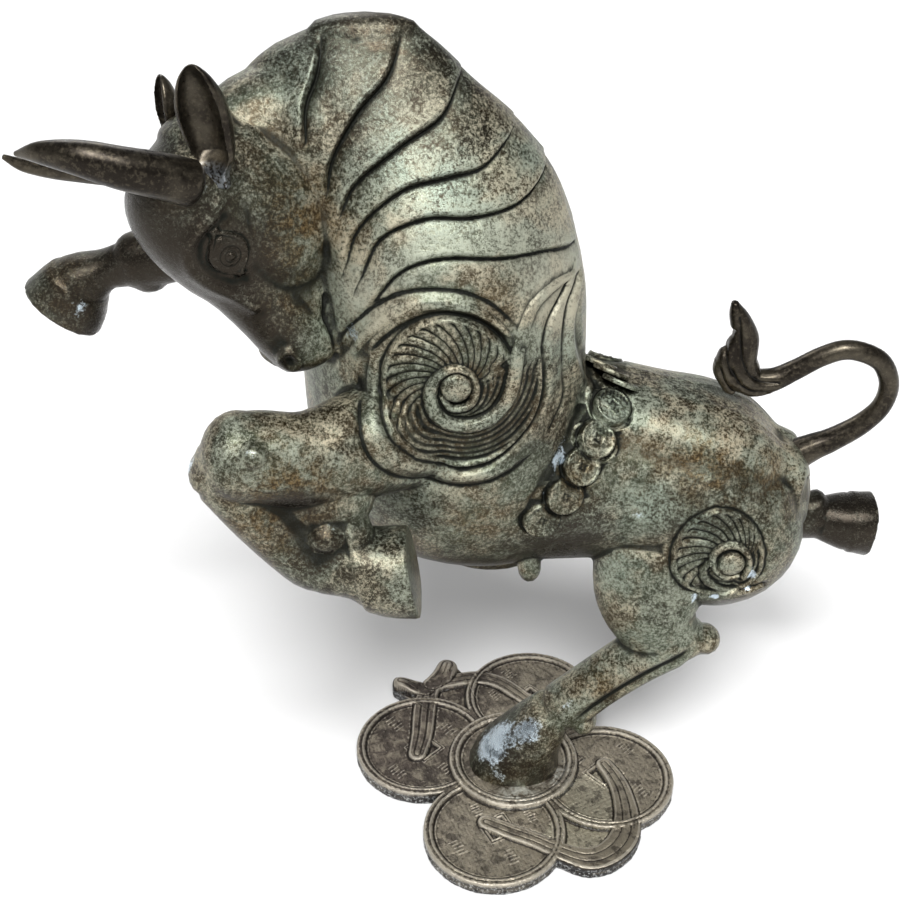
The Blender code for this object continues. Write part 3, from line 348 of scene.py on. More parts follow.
def refine(obj, chosen, cuts):
    """Cut the faces of a skin finer where all their corners are chosen."""
    bm = bmesh.new()
    bm.from_mesh(obj.data)
    bm.verts.ensure_lookup_table()
    flags = chosen.tolist()
    faces = [f for f in bm.faces if all(flags[v.index] for v in f.verts)]
    edges = list({e for f in faces for e in f.edges})
    bmesh.ops.subdivide_edges(bm, edges=edges, cuts=cuts, use_grid_fill=True)
    bm.to_mesh(obj.data)
    bm.free()


def store(mesh, name, values):
    """Keep a value for each point, where a material can read it."""
    layer = mesh.attributes.new(name, "FLOAT", "POINT")
    layer.data.foreach_set("value", np.asarray(values, np.float32))


def hollowness(mesh, rounds):
    """How far each point lies below (above nought) or above its surroundings."""
    points, edges = mesh_arrays(mesh)
    soft = averaged(points, edges, rounds)
    return np.einsum("ij,ij->i", soft - points, vertex_normals(mesh))


def groove(distance, width):
    """A round-bottomed cut or rib: 1 on the line, 0 beyond about twice the width."""
    return np.exp(-(distance / width) ** 2)


def step(value, width):
    """Smooth 0 to 1 as the value passes through nought."""
    return 1.0 / (1.0 + np.exp(-np.clip(value / width, -40, 40)))


def line_field(side, path, per_span=5):
    """Distance to a curve in the side plane, which side of it, and the share along it."""
    line = smooth_path(path, per_span)
    best = np.full(len(side), 1e9)
    left = np.zeros(len(side))
    share = np.zeros(len(side))
    spans = np.linalg.norm(np.diff(line, axis=0), axis=1)
    reached = np.concatenate(([0], np.cumsum(spans))) / spans.sum()
    for i in range(len(line) - 1):
        along = line[i + 1] - line[i]
        offset = side - line[i]
        t = np.clip(offset @ along / (along @ along), 0, 1)
        gap = np.linalg.norm(offset - np.outer(t, along), axis=1)
        nearer = gap < best
        best = np.where(nearer, gap, best)
        turn = along[0] * offset[:, 1] - along[1] * offset[:, 0]
        left = np.where(nearer, np.sign(turn), left)
        share = np.where(nearer, reached[i] + t * (reached[i + 1] - reached[i]), share)
    return best, left, share


# Grooves between the locks of the mane, from beside the cheek to the crest: x, z
MANE = (((-97, 374), (-97, 389), (-92, 402), (-90, 414)),
        ((-89, 352), (-86, 369), (-75, 387), (-62, 400), (-56, 414)),
        ((-84, 344), (-76, 360), (-56, 375), (-39, 384), (-31, 396)),
        ((-82, 322), (-75, 342), (-56, 358), (-36, 362), (-21, 364), (-9, 372)),
        ((-76, 317), (-66, 338), (-46, 347), (-25, 346), (-4, 348), (11, 357)),
        ((-71, 308), (-57, 325), (-38, 331), (-12, 328), (8, 325), (25, 317)))
LOCK_RISE = 2.6
LOCK_CUT = 2.6

# The scrolls in the side plane: eye, its radius, the winding ridge with its half width,
# the rim round the eye, number and sweep of the blades, where they stand strongest, and at
# what angle the ridge leaves the rim
SHOULDER_SCROLL = (
    (-32.6, 271.7), 6.8,
    ((-38.8, 267.1, 1), (-35.4, 261.8, 1.3), (-29.8, 261.2, 1.4), (-25.3, 264, 1.5),
     (-23.6, 270.2, 1.5), (-25.4, 276.8, 1.5), (-29.9, 280.6, 1.6), (-34.7, 281.1, 1.8),
     (-39.4, 278.5, 2.1), (-43.2, 273.3, 2.4), (-44.3, 266.9, 2.7), (-42.6, 259.7, 2.8),
     (-38.1, 254.5, 2.8), (-31.2, 251.7, 2.7), (-23.5, 251.4, 2.7), (-15.8, 254.3, 2.7),
     (-10.2, 260.4, 2.7), (-7.2, 267.7, 2.6), (-6, 276.1, 2.5), (-4.8, 285.6, 2.4),
     (-2.5, 295, 2.3), (0.8, 302.8, 2.2), (5.7, 307, 2), (13, 309, 1.6),
     (20, 308, 1)),
    ((-64.4, 271.9), (-62, 284), (-57.1, 293.2), (-48.8, 300.2), (-36.7, 303.6),
     (-26.6, 301), (-16.3, 293.4), (-10.3, 283.3), (4.5, 282.2), (5.5, 269.1), (5, 257.6),
     (0.5, 246.7), (-8.3, 237.2), (-18.3, 231.8), (-32.5, 230.7), (-43.8, 237),
     (-53.4, 247.2), (-60.9, 257.1), (-63.8, 264.3)),
    30, 34, 108, 98, 20)
HIP_SCROLL = (
    (104.4, 160), 6.4,
    ((108.5, 152.6, 0.8), (103.1, 151.6, 1.2), (97.5, 156, 1.4), (94.6, 162.6, 1.5),
     (97, 168.6, 1.5), (102.4, 171.2, 1.5), (108.4, 169.4, 1.5), (112.4, 163.6, 1.4),
     (113.4, 157, 1.2), (111.4, 150.4, 1)),
    ((78.7, 151.4), (77.2, 161.9), (79.2, 171.6), (83, 181.2), (89, 187), (94.7, 189.5),
     (102.6, 187.6), (109.8, 182.3), (114.7, 176.1), (117.6, 168.4), (119, 160),
     (118, 151), (112, 143.5), (104, 140), (95, 139), (86, 142)),
    26, 30, 128, 100, 900)
HIP_TAIL = ((93, 160, 1.2), (91, 154.5, 1.5), (93, 147.8, 1.8), (98, 142.6, 1.9),
            (105.5, 139.4, 1.9), (114, 138, 1.7), (122.4, 140.6, 1.2))

# Bands round the shoulder scroll, each with its half width, and the grooves beside them
SHOULDER_BANDS = (((-69, 283, 1.5), (-70, 268, 2.4), (-66, 253, 2.8),
                   (-57, 240.5, 2.8), (-46, 231, 2.8), (-34, 224, 2.6),
                   (-20, 223, 2.4), (-8, 226, 1.8)),
                  ((-79, 283, 1.2), (-72.5, 294, 1.8), (-63.5, 303.5, 2),
                   (-54, 309.3, 2), (-44, 311.5, 2), (-34, 311, 1.8),
                   (-24, 307.5, 1.5), (-15, 301, 1.2), (-9, 294, 0.8)))
SHOULDER_GROOVES = (((-71.1, 285.5), (-63.9, 294.1), (-56.9, 300.5), (-48.1, 305.6),
                     (-40, 307.4), (-30, 306), (-22, 302.4), (-14.4, 296.2),
                     (-9, 289)),
                    ((-88.8, 281), (-81.5, 293.2), (-70.5, 306), (-60.1, 313.8),
                     (-50, 317), (-40, 317.4), (-30, 316), (-19.9, 311.5),
                     (-12, 305), (-5.7, 297.6)),
                    ((-77, 272), (-74, 254), (-65, 238), (-52, 225.5),
                     (-38, 218.5), (-22, 217), (-8, 221), (4, 229)))
BAND_EDGE = ((17, 305), (9, 294), (7, 280), (8, 264), (5, 249), (-4, 238), (-16, 229),
             (-30, 226))
BAND_BACK = ((23, 305), (18.5, 298), (17, 290), (16.6, 276), (17.5, 262), (18, 250), (12, 238))
BACK_RIDGE = ((24, 303), (21.7, 296), (19.8, 288), (20.5, 276), (23.6, 262), (28, 247),
              (34, 237), (40, 230))
FLANK_RIDGE = ((44, 234), (56, 231), (68, 226.5), (82, 222.5), (99, 219), (115, 213),
               (130, 203), (141, 192))
TENDON = ((90, 101), (74, 89), (56, 74), (42, 61), (32, 50))

# Rings where the hooves begin: a point, the way to the sole, and the reach
HOOF_RINGS = (((-79, -48, 187), (0.985, 0, 0.17), 26),
              ((8, 0, 31), (0.25, 0, -0.97), 34),
              ((186, 75, 119), (1, 0, -0.12), 24),
              ((-219, 78, 268), (-0.62, 0, -0.78), 26))


def band_field(plan, path):
    """Distance from a band's middle line, signed distance, half width and share there."""
    line = smooth_path(path, 5)
    gap, left, share = line_field(plan, line[:, :2], 1)
    spans = np.linalg.norm(np.diff(line[:, :2], axis=0), axis=1)
    reached = np.concatenate(([0], np.cumsum(spans))) / spans.sum()
    return gap, gap * left, np.interp(share, reached, line[:, 2]), share


def rounded(gap, half):
    """A rounded rib: 1 on its middle line, 0 from its edge on."""
    return np.sqrt(np.clip(1 - (gap / half) ** 2, 0, 1))


def scroll(side, eye, eye_radius, ridge, rim, blades, sweep, middle, spread, gate):
    """Height of one scroll: domed eye, winding ridge, swept blades, rim."""
    eye = np.array(eye)
    height = np.zeros(len(side))
    near = np.flatnonzero(np.hypot(*(side - eye).T) < 52)
    if len(near) == 0:
        return height
    x, z = (side[near] - eye).T
    r = np.hypot(x, z)
    angle = np.degrees(np.arctan2(z, x))
    corners = np.array(rim) - eye
    turns = np.degrees(np.arctan2(corners[:, 1], corners[:, 0]))
    reach = np.interp(angle, turns, np.hypot(*corners.T), period=360)
    gap, _, half, _ = band_field(side[near], ridge)
    between = gap - half
    share = np.clip(between / np.maximum(between + reach - r, 0.5), 0, 1)
    inside = step(reach - r, 0.35)
    off = np.cos(np.radians(angle - middle)) - math.cos(math.radians(spread))
    strong = step(off, 0.10)
    phase = (angle - sweep * share) * blades / 360
    tooth = (phase - np.floor(phase)) ** 1.35
    blade = np.sqrt(np.clip(4 * tooth * (1 - tooth), 0, 1))
    fan = -1.7 + 1.9 * blade * (0.45 + 0.55 * share)
    lines = -1.6 + 0.6 * (0.5 + 0.5 * np.cos(between * 2 * math.pi / 2.9)) ** 2
    field = strong * fan + (1 - strong) * lines
    rise = inside * step(between, 0.25) * step(r - eye_radius - 0.8, 0.3) * field
    rise += 1.0 * groove(r - reach - 0.6, 0.9) - 1.3 * groove(r - reach - 3.2, 1.2)
    rise *= 1 - groove(angle - gate, 9) * (r > 3.7 * eye_radius)
    rise = np.where(gap < half * 1.15, 0.2 + (0.9 + 0.5 * half) * rounded(gap, half * 1.2), rise)
    dome = 0.4 + 2.4 * rounded(r, eye_radius)
    rise = np.where(r < eye_radius, dome, rise - 1.2 * groove(r - eye_radius - 0.9, 0.7))
    height[near] = rise * step(reach + 6 - r, 0.8)
    return height


def side_carving(points):
    """Height of the carving over the plain form, on either side of the ox."""
    side = points[:, (0, 2)]
    height = np.zeros(len(points))
    crest = 1 - 0.85 * step(points[:, 2] - 407, 2.5)
    for path in MANE:
        gap, left, share = line_field(side, path)
        fade = step(share - 0.02, 0.02) * step(0.99 - share, 0.03)
        fade = fade * (0.5 + 0.5 * np.sin(np.pi * np.clip(share, 0, 1)) ** 0.5)
        above = step(gap * left, 0.3)
        height += crest * fade * (above * LOCK_RISE * np.exp(-gap / 8)
                                  - (1 - above) * LOCK_CUT * np.exp(-gap / 4.5))
        height -= fade * 1.1 * groove(gap, 1.1)
    for path in SHOULDER_BANDS:
        gap, _, half, share = band_field(side, path)
        height += 1.3 * rounded(gap, half * 1.3) * step(share - 0.02, 0.02)
    for path in SHOULDER_GROOVES:
        gap, _, share = line_field(side, path)
        height -= 1.7 * groove(gap, 1.5) * step(share - 0.03, 0.02) * step(0.97 - share, 0.02)
    height += scroll(side, *SHOULDER_SCROLL) + scroll(side, *HIP_SCROLL)
    gap, _, half, _ = band_field(side, SHOULDER_SCROLL[2][18:])
    height += 1.4 * rounded(gap, half * 1.25) * step(side[:, 1] - 296, 2.0)
    gap, _, half, _ = band_field(side, HIP_TAIL)
    height += 1.5 * rounded(gap, half * 1.2) - 0.9 * groove(gap - half * 1.7, 0.8)
    gap, left, _ = line_field(side, BAND_EDGE)
    height -= 1.9 * groove(gap, 1.3)
    height += 1.2 * step(gap * left, 0.5) * np.exp(-gap / 7)
    gap, _, _ = line_field(side, BAND_BACK)
    height -= 1.6 * groove(gap, 1.2)
    gap, left, _ = line_field(side, BACK_RIDGE)
    height += 1.7 * groove(gap, 1.8) - 1.5 * step(gap * left, 0.5) * groove(gap - 3.6, 1.6)
    gap, left, _ = line_field(side, FLANK_RIDGE)
    under = 1 - step(gap * left, 1.5)
    height += 2.2 * groove(gap, 7.0) - 1.4 * under * groove(gap - 11, 9.0)
    return height


# The strap of coins over the waist, upper coin first: x, z on the side of the ox
STRAP = ((43, 235), (35, 225), (28, 215), (20, 202), (9, 190))
# The coins on top of the back: middles and the way they face
BACK_COINS = ((33, 47, 241), (38, 39, 243), (43, 31, 243), (47, 24, 241))
BACK_COIN_FACE = (0.38, 0.42, 0.82)
STRAP_RADIUS = 9.3
STRAP_THICK = 2.5


def strap_carving(points, normals):
    """Height of the strap's coins, each lying over the one below it."""
    height = np.zeros(len(points))
    for side in (-1, 1):
        half = (points[:, 1] - MIDDLE_Y) * side > 0
        for x, z in STRAP[::-1]:
            near = np.hypot(points[:, 0] - x, points[:, 2] - z) + np.where(half, 0, 900)
            near += np.where(normals[:, 1] * side > 0, 0, 900)
            first = np.argmin(near)
            offset = points - points[first]
            face = normals[first]
            across = np.cross(face, (0.55, 0, 0.84))
            across /= np.linalg.norm(across)
            along = np.cross(across, face)
            u, v = offset @ across, offset @ along
            gap = np.where(np.abs(offset @ face) < 7, np.hypot(u, v), 900)
            coin = step(STRAP_RADIUS - gap, 0.22)
            fall = -1.0 * np.clip(v / STRAP_RADIUS, -1, 1)
            rise = STRAP_THICK + fall + 0.7 * groove(gap - STRAP_RADIUS + 1.2, 0.7)
            square = np.maximum(np.abs(u), np.abs(v))
            rise += 0.4 * groove(square - 2.5, 0.5) - 0.5 * step(2.0 - square, 0.2)
            rise += 0.16 * np.sin(u * 3.1 + v * 1.3) * np.sin(v * 2.9)
            under = 1.9 * groove(gap - 10.2, 1.1) * step(-v - 1, 1.0)
            height = (height - under) * (1 - coin) + rise * coin
    return height


BROW = ((16.7, 1.8), (20.9, 5), (22.7, 10.6), (25.6, 16.1), (30, 19.6), (36.8, 20.2),
        (43.1, 18.1), (50.6, 13.1), (57.7, 6.9), (66, 1))
SOCKET = ((22, 2), (26, 8.7), (29.5, 13.6), (35.5, 15.6), (43.4, 13.6), (50.3, 7.4),
          (52.5, 1))
JAW_EDGE = ((50, -4), (57, -11), (61, -20), (60, -30), (54, -40))
MOUTH = ((118, -25), (104, -26.5), (94, -28), (85, -28.5), (77, -31.5))


def head_carving(local):
    """Height of the eye, brow, nostril and mouth, in the head's frame."""
    f, s, n = local.T
    side = np.stack((f, n), 1)
    outer = step(np.abs(s) - 9, 1.0)
    along = np.array((18.0, -4.0)) / math.hypot(18, 4)
    u = (side - (38.0, 4.6)) @ along
    v = (side - (38.0, 4.6)) @ np.array((-along[1], along[0]))
    lid = np.abs(v) - 6.8 * np.clip(1 - (u / 10.3) ** 2, 0, 1)
    inside = step(-lid, 0.25) * step(10.3 - np.abs(u), 0.25)
    r = np.hypot(u - 1.4, v)
    eye = inside * (1.9 * np.sqrt(np.clip(1 - (r / 10.0) ** 2, 0, 1)) - 1.2)
    eye -= inside * (0.9 * groove(r - 4.5, 0.5) + 0.7 * groove(r - 2.5, 0.45))
    eye += inside * 0.7 * step(1.3 - r, 0.2)
    ring = np.abs(u) < 12.5
    eye += ring * (1.0 * groove(lid - 0.9, 0.8) - 0.8 * groove(lid - 2.6, 0.7))
    gap, _, _ = line_field(side, BROW)
    eye += 2.0 * groove(gap, 3.0)
    gap, _, _ = line_field(side, SOCKET)
    eye -= 1.5 * groove(gap, 2.8) * (1 - inside)
    gap, _, _ = line_field(side, JAW_EDGE)
    eye -= 0.8 * groove(gap, 4.0)
    height = outer * eye
    hole = np.sqrt((f - 97.5) ** 2 + ((np.abs(s) - 12.5) * 0.8) ** 2 + ((n + 4.5) * 1.3) ** 2)
    height -= 3.4 * groove(hole, 3.6)
    height += 1.0 * groove(hole - 5.6, 1.2)
    gap, _, _ = line_field(side, MOUTH)
    height -= 1.7 * groove(gap, 1.3)
    return height


def leg_carving(points):
    """Height of the tendon of the standing leg, and of the rings above the hooves."""
    height = np.zeros(len(points))
    gap, _, share = line_field(points[:, (0, 2)], TENDON)
    near = (np.abs(points[:, 1]) < 18) & (points[:, 2] < 112)
    fade = near * step(share - 0.03, 0.03) * step(0.97 - share, 0.03)
    height += fade * (0.9 * groove(gap - 5.5, 3.0) - 1.8 * groove(gap, 2.4))
    for point, normal, reach in HOOF_RINGS:
        offset = points - point
        depth = offset @ np.array(normal)
        close = step(reach - np.linalg.norm(offset, axis=1), 1.0)
        height += close * (0.4 * groove(depth - 2.6, 1.8) - 0.5 * groove(depth, 1.0))
    return height


def carving(points, normals):
    """Height of all the carving at points of the plain form."""
    local = (points - HEAD_ORIGIN) @ np.array(HEAD_AXES).T
    skull = np.linalg.norm((local - (45, 0, -10)) / (68, 34, 42), axis=1)
    head = 1 - step(skull - 1.0, 0.03)
    facing = step(np.abs(normals[:, 1]) - 0.16, 0.05)
    height = side_carving(points) * step(points[:, 0] + 104, 1.5) * (1 - head) * facing
    strap = strap_carving(points, normals)
    height = np.where(np.abs(strap) > 0.02, strap, height)
    return height + head * head_carving(local) + leg_carving(points)


def carve(mesh):
    """Raise and cut a skin along its normals, and say how plain it is at each point."""
    points, _ = mesh_arrays(mesh)
    normals = vertex_normals(mesh)
    height = carving(points, normals)
    move(mesh, points + normals * height[:, None])
    return 1 - np.clip(np.abs(height) / 0.8, 0, 1)


# The base in plan, millimetres: where the ribbon runs and how wide it is
FRONT_RIBBON = ((-16, -45, 4.5), (-4, -51, 5), (10, -57.5, 5), (24, -65.5, 5.5), (38, -70, 7),
                (50, -64.5, 7.5), (58, -53, 7.5), (60, -38, 6.5), (58.5, -22, 5.5), (55, -11, 5),
                (51, -3, 4.5))
BACK_RIBBON = ((-54, 5, 5), (-51.5, 20, 6), (-50.5, 38, 6.5), (-49, 52, 6), (-46, 61, 5.5))
BACK_LOOP = ((-52, 58, 5), (-40, 63, 5), (-28, 66, 5), (-17, 67, 5), (-6, 63, 5), (3, 55, 5),
             (10, 48, 4.5))
RIBBON_ENDS = (((-50, 57, 5), (-58, 59, 5), (-65, 60, 4)),
               ((-46, 62, 5), (-40, 68, 6), (-37, 74, 6)))
HOLES = ((-50, 10, 45), (-10, -49, 28), (50, -9, 45), (12, 50, 45))
HOLE_SIDE = 13.0
FIELD_LEVEL = 6.4
SUNK_LEVEL = 5.2
# Where rows of small strokes stand on the coins: middle, turn in degrees, size
MARKS = ((-67, 29, 45, 8), (-37, 25, 45, 8), (-65, -8, 45, 7.5), (-37, -6, 45, 7),
         (-21, -36, 28, 6), (-3, -68, 28, 7.5), (-31, -62, 28, 7.5), (8, -40, 28, 6),
         (64, 10, 45, 7), (69, -22, 45, 7.5), (36, 2, 45, 6), (-9, 53, 45, 6), (30, 62, 45, 7),
         (22, 40, 45, 6), (0, 71, 45, 6))


def coin_centres():
    """Middles of the four outer coins, in plan."""
    turns = COIN_TURN + np.arange(4) * math.pi / 2
    return np.stack((np.cos(turns), np.sin(turns)), 1) * COIN_SPACING


def base_inside(plan):
    """True where the base has metal."""
    inside = np.hypot(*plan.T) < CENTRE_COIN_RADIUS
    for centre in coin_centres():
        inside |= np.hypot(*(plan - centre).T) < COIN_RADIUS
    for path in (FRONT_RIBBON, BACK_RIBBON, BACK_LOOP) + RIBBON_ENDS:
        gap, _, half, _ = band_field(plan, path)
        inside |= gap < half + 0.6
    return inside


def folded(offset, half, folds):
    """Rounded folds of a ribbon with narrow cuts between them."""
    phase = (offset / half + 1) / 2 * folds
    return np.sqrt(np.clip(1 - (2 * (phase - np.floor(phase)) - 1) ** 4, 0, 1)) - 1


def coin_rim(gap, rim, high):
    """Height of a coin's rim over its field, by the distance in from its edge."""
    edge = step(gap, 0.15) * step(rim - gap, 0.28)
    height = high * edge - 0.28 * groove(gap - rim * 0.52, 0.45) * edge
    height += 0.22 * groove(gap - rim * 0.72, 0.5)
    return height + 0.4 * groove(gap - rim - 1.5, 0.42)


def mark_strokes(plan):
    """Rows of short parallel strokes, which stand for the worn inscriptions."""
    height = np.zeros(len(plan))
    for x, y, turn, size in MARKS:
        c, s = math.cos(math.radians(turn)), math.sin(math.radians(turn))
        local = (plan - (x, y)) @ np.array(((c, -s), (s, c)))
        near = np.flatnonzero(np.abs(local).max(axis=1) < size * 0.8)
        u, v = local[near].T
        pitch = size * 0.30
        row = np.round(v / pitch)
        shift = 0.35 * np.sin(row * 2.3 + x) * size
        run = np.maximum(np.abs(u - shift * 0.3) - size * 0.34, 0)
        gap = np.hypot(run, v - row * pitch)
        height[near] += 0.42 * groove(gap, 0.42) * (np.abs(row) < 2.5)
    return height


def worn_waves(plan):
    """The uneven surface that casting and wear have left."""
    x, y = plan.T
    return 0.045 * (np.sin(0.9 * x + 1.3 * y) + np.sin(1.7 * x - 0.6 * y + 2)
                    + np.sin(-1.1 * x + 2.3 * y + 1) + np.sin(2.6 * x + 1.1 * y + 4))


def base_height(plan):
    """Height of the base's upper side."""
    height = SUNK_LEVEL + worn_waves(plan)
    for centre in coin_centres():
        gap = COIN_RADIUS - np.hypot(*(plan - centre).T)
        field = step(gap, 0.12) * (FIELD_LEVEL - SUNK_LEVEL)
        coin = SUNK_LEVEL + worn_waves(plan) + field + coin_rim(gap, RIM_WIDTH, RIM_HEIGHT)
        height = np.maximum(height, coin)
    height += mark_strokes(plan)
    for x, y, turn in HOLES:
        c, s = math.cos(math.radians(turn)), math.sin(math.radians(turn))
        u, v = ((plan - (x, y)) @ np.array(((c, -s), (s, c)))).T
        square = np.maximum(np.abs(u), np.abs(v)) - HOLE_SIDE / 2
        height += 0.9 * groove(square, 0.55) + 0.5 * groove(square - 1.6, 0.4)
        height -= 1.6 * step(-square - 1.0, 0.15)
    for path, folds in ((BACK_LOOP, 3), (BACK_RIBBON, 3), (FRONT_RIBBON, 3),
                        (RIBBON_ENDS[0], 3), (RIBBON_ENDS[1], 4)):
        gap, offset, half, _ = band_field(plan, path)
        over = FIELD_LEVEL + 1.3 + 0.9 * folded(offset, half, folds)
        height = np.where(gap < half, np.maximum(height, over), height)
        height -= 0.5 * groove(gap - half - 0.5, 0.5) * (height < over + 0.3)
    for path in RIBBON_ENDS:
        gap, _, half, _ = band_field(plan, path)
        tip = np.array(path[-1][:2])
        height += step(half - gap, 0.3) * 4.5 * groove(np.hypot(*(plan - tip).T), 7)
    gap = CENTRE_COIN_RADIUS - np.hypot(*plan.T)
    centre = BASE_THICKNESS + worn_waves(plan) + coin_rim(gap, RIM_WIDTH + 0.6, RIM_HEIGHT)
    return np.where(gap > 0, centre, height)


def base_skin():
    """The base as one skin: the carved upper side, a layered edge and a flat underside."""
    spokes, rings = BASE_GRID
    turns = np.linspace(0, math.tau, spokes, endpoint=False)
    rays = np.stack((np.cos(turns), np.sin(turns)), 1)
    reach = np.zeros(spokes)
    for r in np.arange(30, 100, 0.1):
        reach = np.where(base_inside(rays * r), r, reach)
    shares = np.linspace(0.003, 0.985, rings)
    loops = []
    for share in shares:
        plan = rays * (reach * share)[:, None]
        loops.append(np.column_stack((plan, base_height(plan))))
    plan = rays * (reach - 1.2)[:, None]
    top = base_height(plan)
    for inward, fall in ((0.75, 0.08), (0.4, 0.3), (0.12, 0.75), (0.0, 1.4)):
        loops.append(np.column_stack((rays * (reach - inward)[:, None], top - fall)))
    wave = 0.16 * np.sin(turns * 37) + 0.12 * np.sin(turns * 83 + 1) + 0.1 * np.sin(turns * 151)
    for level, inward in ((0.62, 0.05), (0.52, 0.6), (0.46, 0.65), (0.36, 0.0), (0.12, 0.1),
                          (0.02, 0.5)):
        plan = rays * (reach - inward + wave * 0.7)[:, None]
        loops.append(np.column_stack((plan, top * level + wave * 0.5 * (level > 0.1))))
    loops.append(np.column_stack((rays * (reach - 1.0)[:, None], np.zeros(spokes))))
    points = np.concatenate(loops + [np.array(((0, 0, BASE_THICKNESS), (0, 0, 0)))])
    first = np.arange(len(loops) - 1)[:, None] * spokes + np.arange(spokes)[None]
    after = np.arange(len(loops) - 1)[:, None] * spokes + (np.arange(spokes)[None] + 1) % spokes
    quads = np.stack((first, first + spokes, after + spokes, after), -1).reshape(-1, 4)
    k = np.arange(spokes)
    n = (k + 1) % spokes
    last = (len(loops) - 1) * spokes
    centre = np.stack((np.full(spokes, len(points) - 2), k, n), 1)
    under = np.stack((np.full(spokes, len(points) - 1), last + n, last + k), 1)
    mesh = bpy.data.meshes.new("base_skin")
    mesh.from_pydata(points.tolist(), [], quads.tolist() + centre.tolist() + under.tolist())
    base = bpy.data.objects.new("base_skin", mesh)
    bpy.context.scene.collection.objects.link(base)
    thin_out(base, BASE_TRIANGLES)
    base_fields(base.data)
    return base


def base_fields(mesh):
    """What the base's material needs to know at each point."""
    points, _ = mesh_arrays(mesh)
    plan = points[:, :2]
    around = np.zeros(len(points))
    for k in range(8):
        way = np.array((math.cos(k * math.tau / 8), math.sin(k * math.tau / 8)))
        around += base_height(plan + way * (0.7 + 0.7 * (k % 2))) / 8
    store(mesh, "hollow", np.clip((around - base_height(plan)) / 0.4, -1, 1))
    steep = 1 - np.clip(vertex_normals(mesh)[:, 2], 0, 1)
    store(mesh, "side", np.clip(steep * 1.6 - 0.4, 0, 1) * step(6.2 - points[:, 2], 0.3))
    _, offset, half, share = band_field(plan, FRONT_RIBBON)
    lobe = step(offset - half, 0.4) * (np.hypot(*plan.T) > CENTRE_COIN_RADIUS)
    lobe *= (share > 0.22) * (share < 0.99) * (plan[:, 0] > -2)
    store(mesh, "green", lobe * (points[:, 2] < 8))
    store(mesh, "tone", step(plan[:, 0] - plan[:, 1] * 0.4 + 26, 10))
    spill = groove(np.hypot(plan[:, 0] - 2, plan[:, 1] + 24), 9)
    spill += groove(np.hypot(plan[:, 0] - 22, plan[:, 1] + 12), 8)
    store(mesh, "solder_and_sheen", np.clip(spill, 0, 1))


# Along an ear: share of its length, of its half width, opening in degrees, wall
EAR_SHAPE = ((-0.12, 0.40, 0, 5), (0, 0.44, 0, 5), (0.08, 0.62, 60, 4), (0.18, 0.86, 150, 2.2),
             (0.34, 1, 200, 1.9), (0.52, 1.08, 200, 1.7), (0.70, 0.98, 190, 1.5),
             (0.86, 0.70, 170, 1.3), (0.96, 0.36, 140, 1.1), (1, 0.12, 90, 0.6))


def ear_skin(name, root, tip, facing, half_width):
    """A cupped leaf with rolled edges on a short stem."""
    root, tip = np.array(root, float), np.array(tip, float)
    length = np.linalg.norm(tip - root)
    along = (tip - root) / length
    facing = np.array(facing, float)
    facing -= along * facing.dot(along)
    facing /= np.linalg.norm(facing)
    across = np.cross(facing, along)
    bm = bmesh.new()
    columns = 25
    rings = []
    for t, width, opening, wall in smooth_path(EAR_SHAPE, 6):
        radius = max(width, 0.02) * half_width
        opening = max(opening, 0.0)
        outer, inner = [], []
        for k in range(columns):
            a = k / (columns - 1) * 2 - 1
            angle = a * math.radians(75 + 0.15 * opening)
            x, y = math.sin(angle) * radius, -math.cos(angle) * radius * 0.72
            lip = 1 + 0.05 * a ** 8
            outer.append((x * lip, y))
            deep = min(1.0, opening / 150)
            thick = (radius * 1.3) * (1 - deep) + wall * deep
            inner.append((x * (1 - 0.16 * deep), y + thick * (1 - 0.35 * a * a)))
        ring = [bm.verts.new(root + along * (t * length) + across * x + facing * (y + 2.0))
                for x, y in outer + inner[::-1]]
        rings.append(ring)
    bridge(bm, rings)
    ear = new_object(name, bm)
    voxel_union(ear, EAR_VOXEL)
    relax(ear.data, 5)
    store(ear.data, "hollow", np.clip(hollowness(ear.data, 8) / 0.3, -1, 1))
    points, _ = mesh_arrays(ear.data)
    store(ear.data, "solder_and_sheen", np.clip(1.2 - (points - root) @ along / 5, 0, 1) * 0.6)
    return ear


EARS = (("left", (-130, -20, 373), (-136, -25, 421), (-0.45, -1, 0.25), 11),
        ("right", (-155, 18, 371), (-157, 21, 399), (-0.9, -0.4, 0.1), 8))


# Materials

def smooth_range(tree, source, low, high, to_low, to_high):
    """A value brought smoothly from one range to another."""
    made = tree.nodes.new("ShaderNodeMapRange")
    made.interpolation_type = "SMOOTHSTEP"
    tree.links.new(source, made.inputs["Value"])
    ends = (("From Min", low), ("From Max", high), ("To Min", to_low), ("To Max", to_high))
    for socket, value in ends:
        made.inputs[socket].default_value = value
    return made.outputs["Result"]


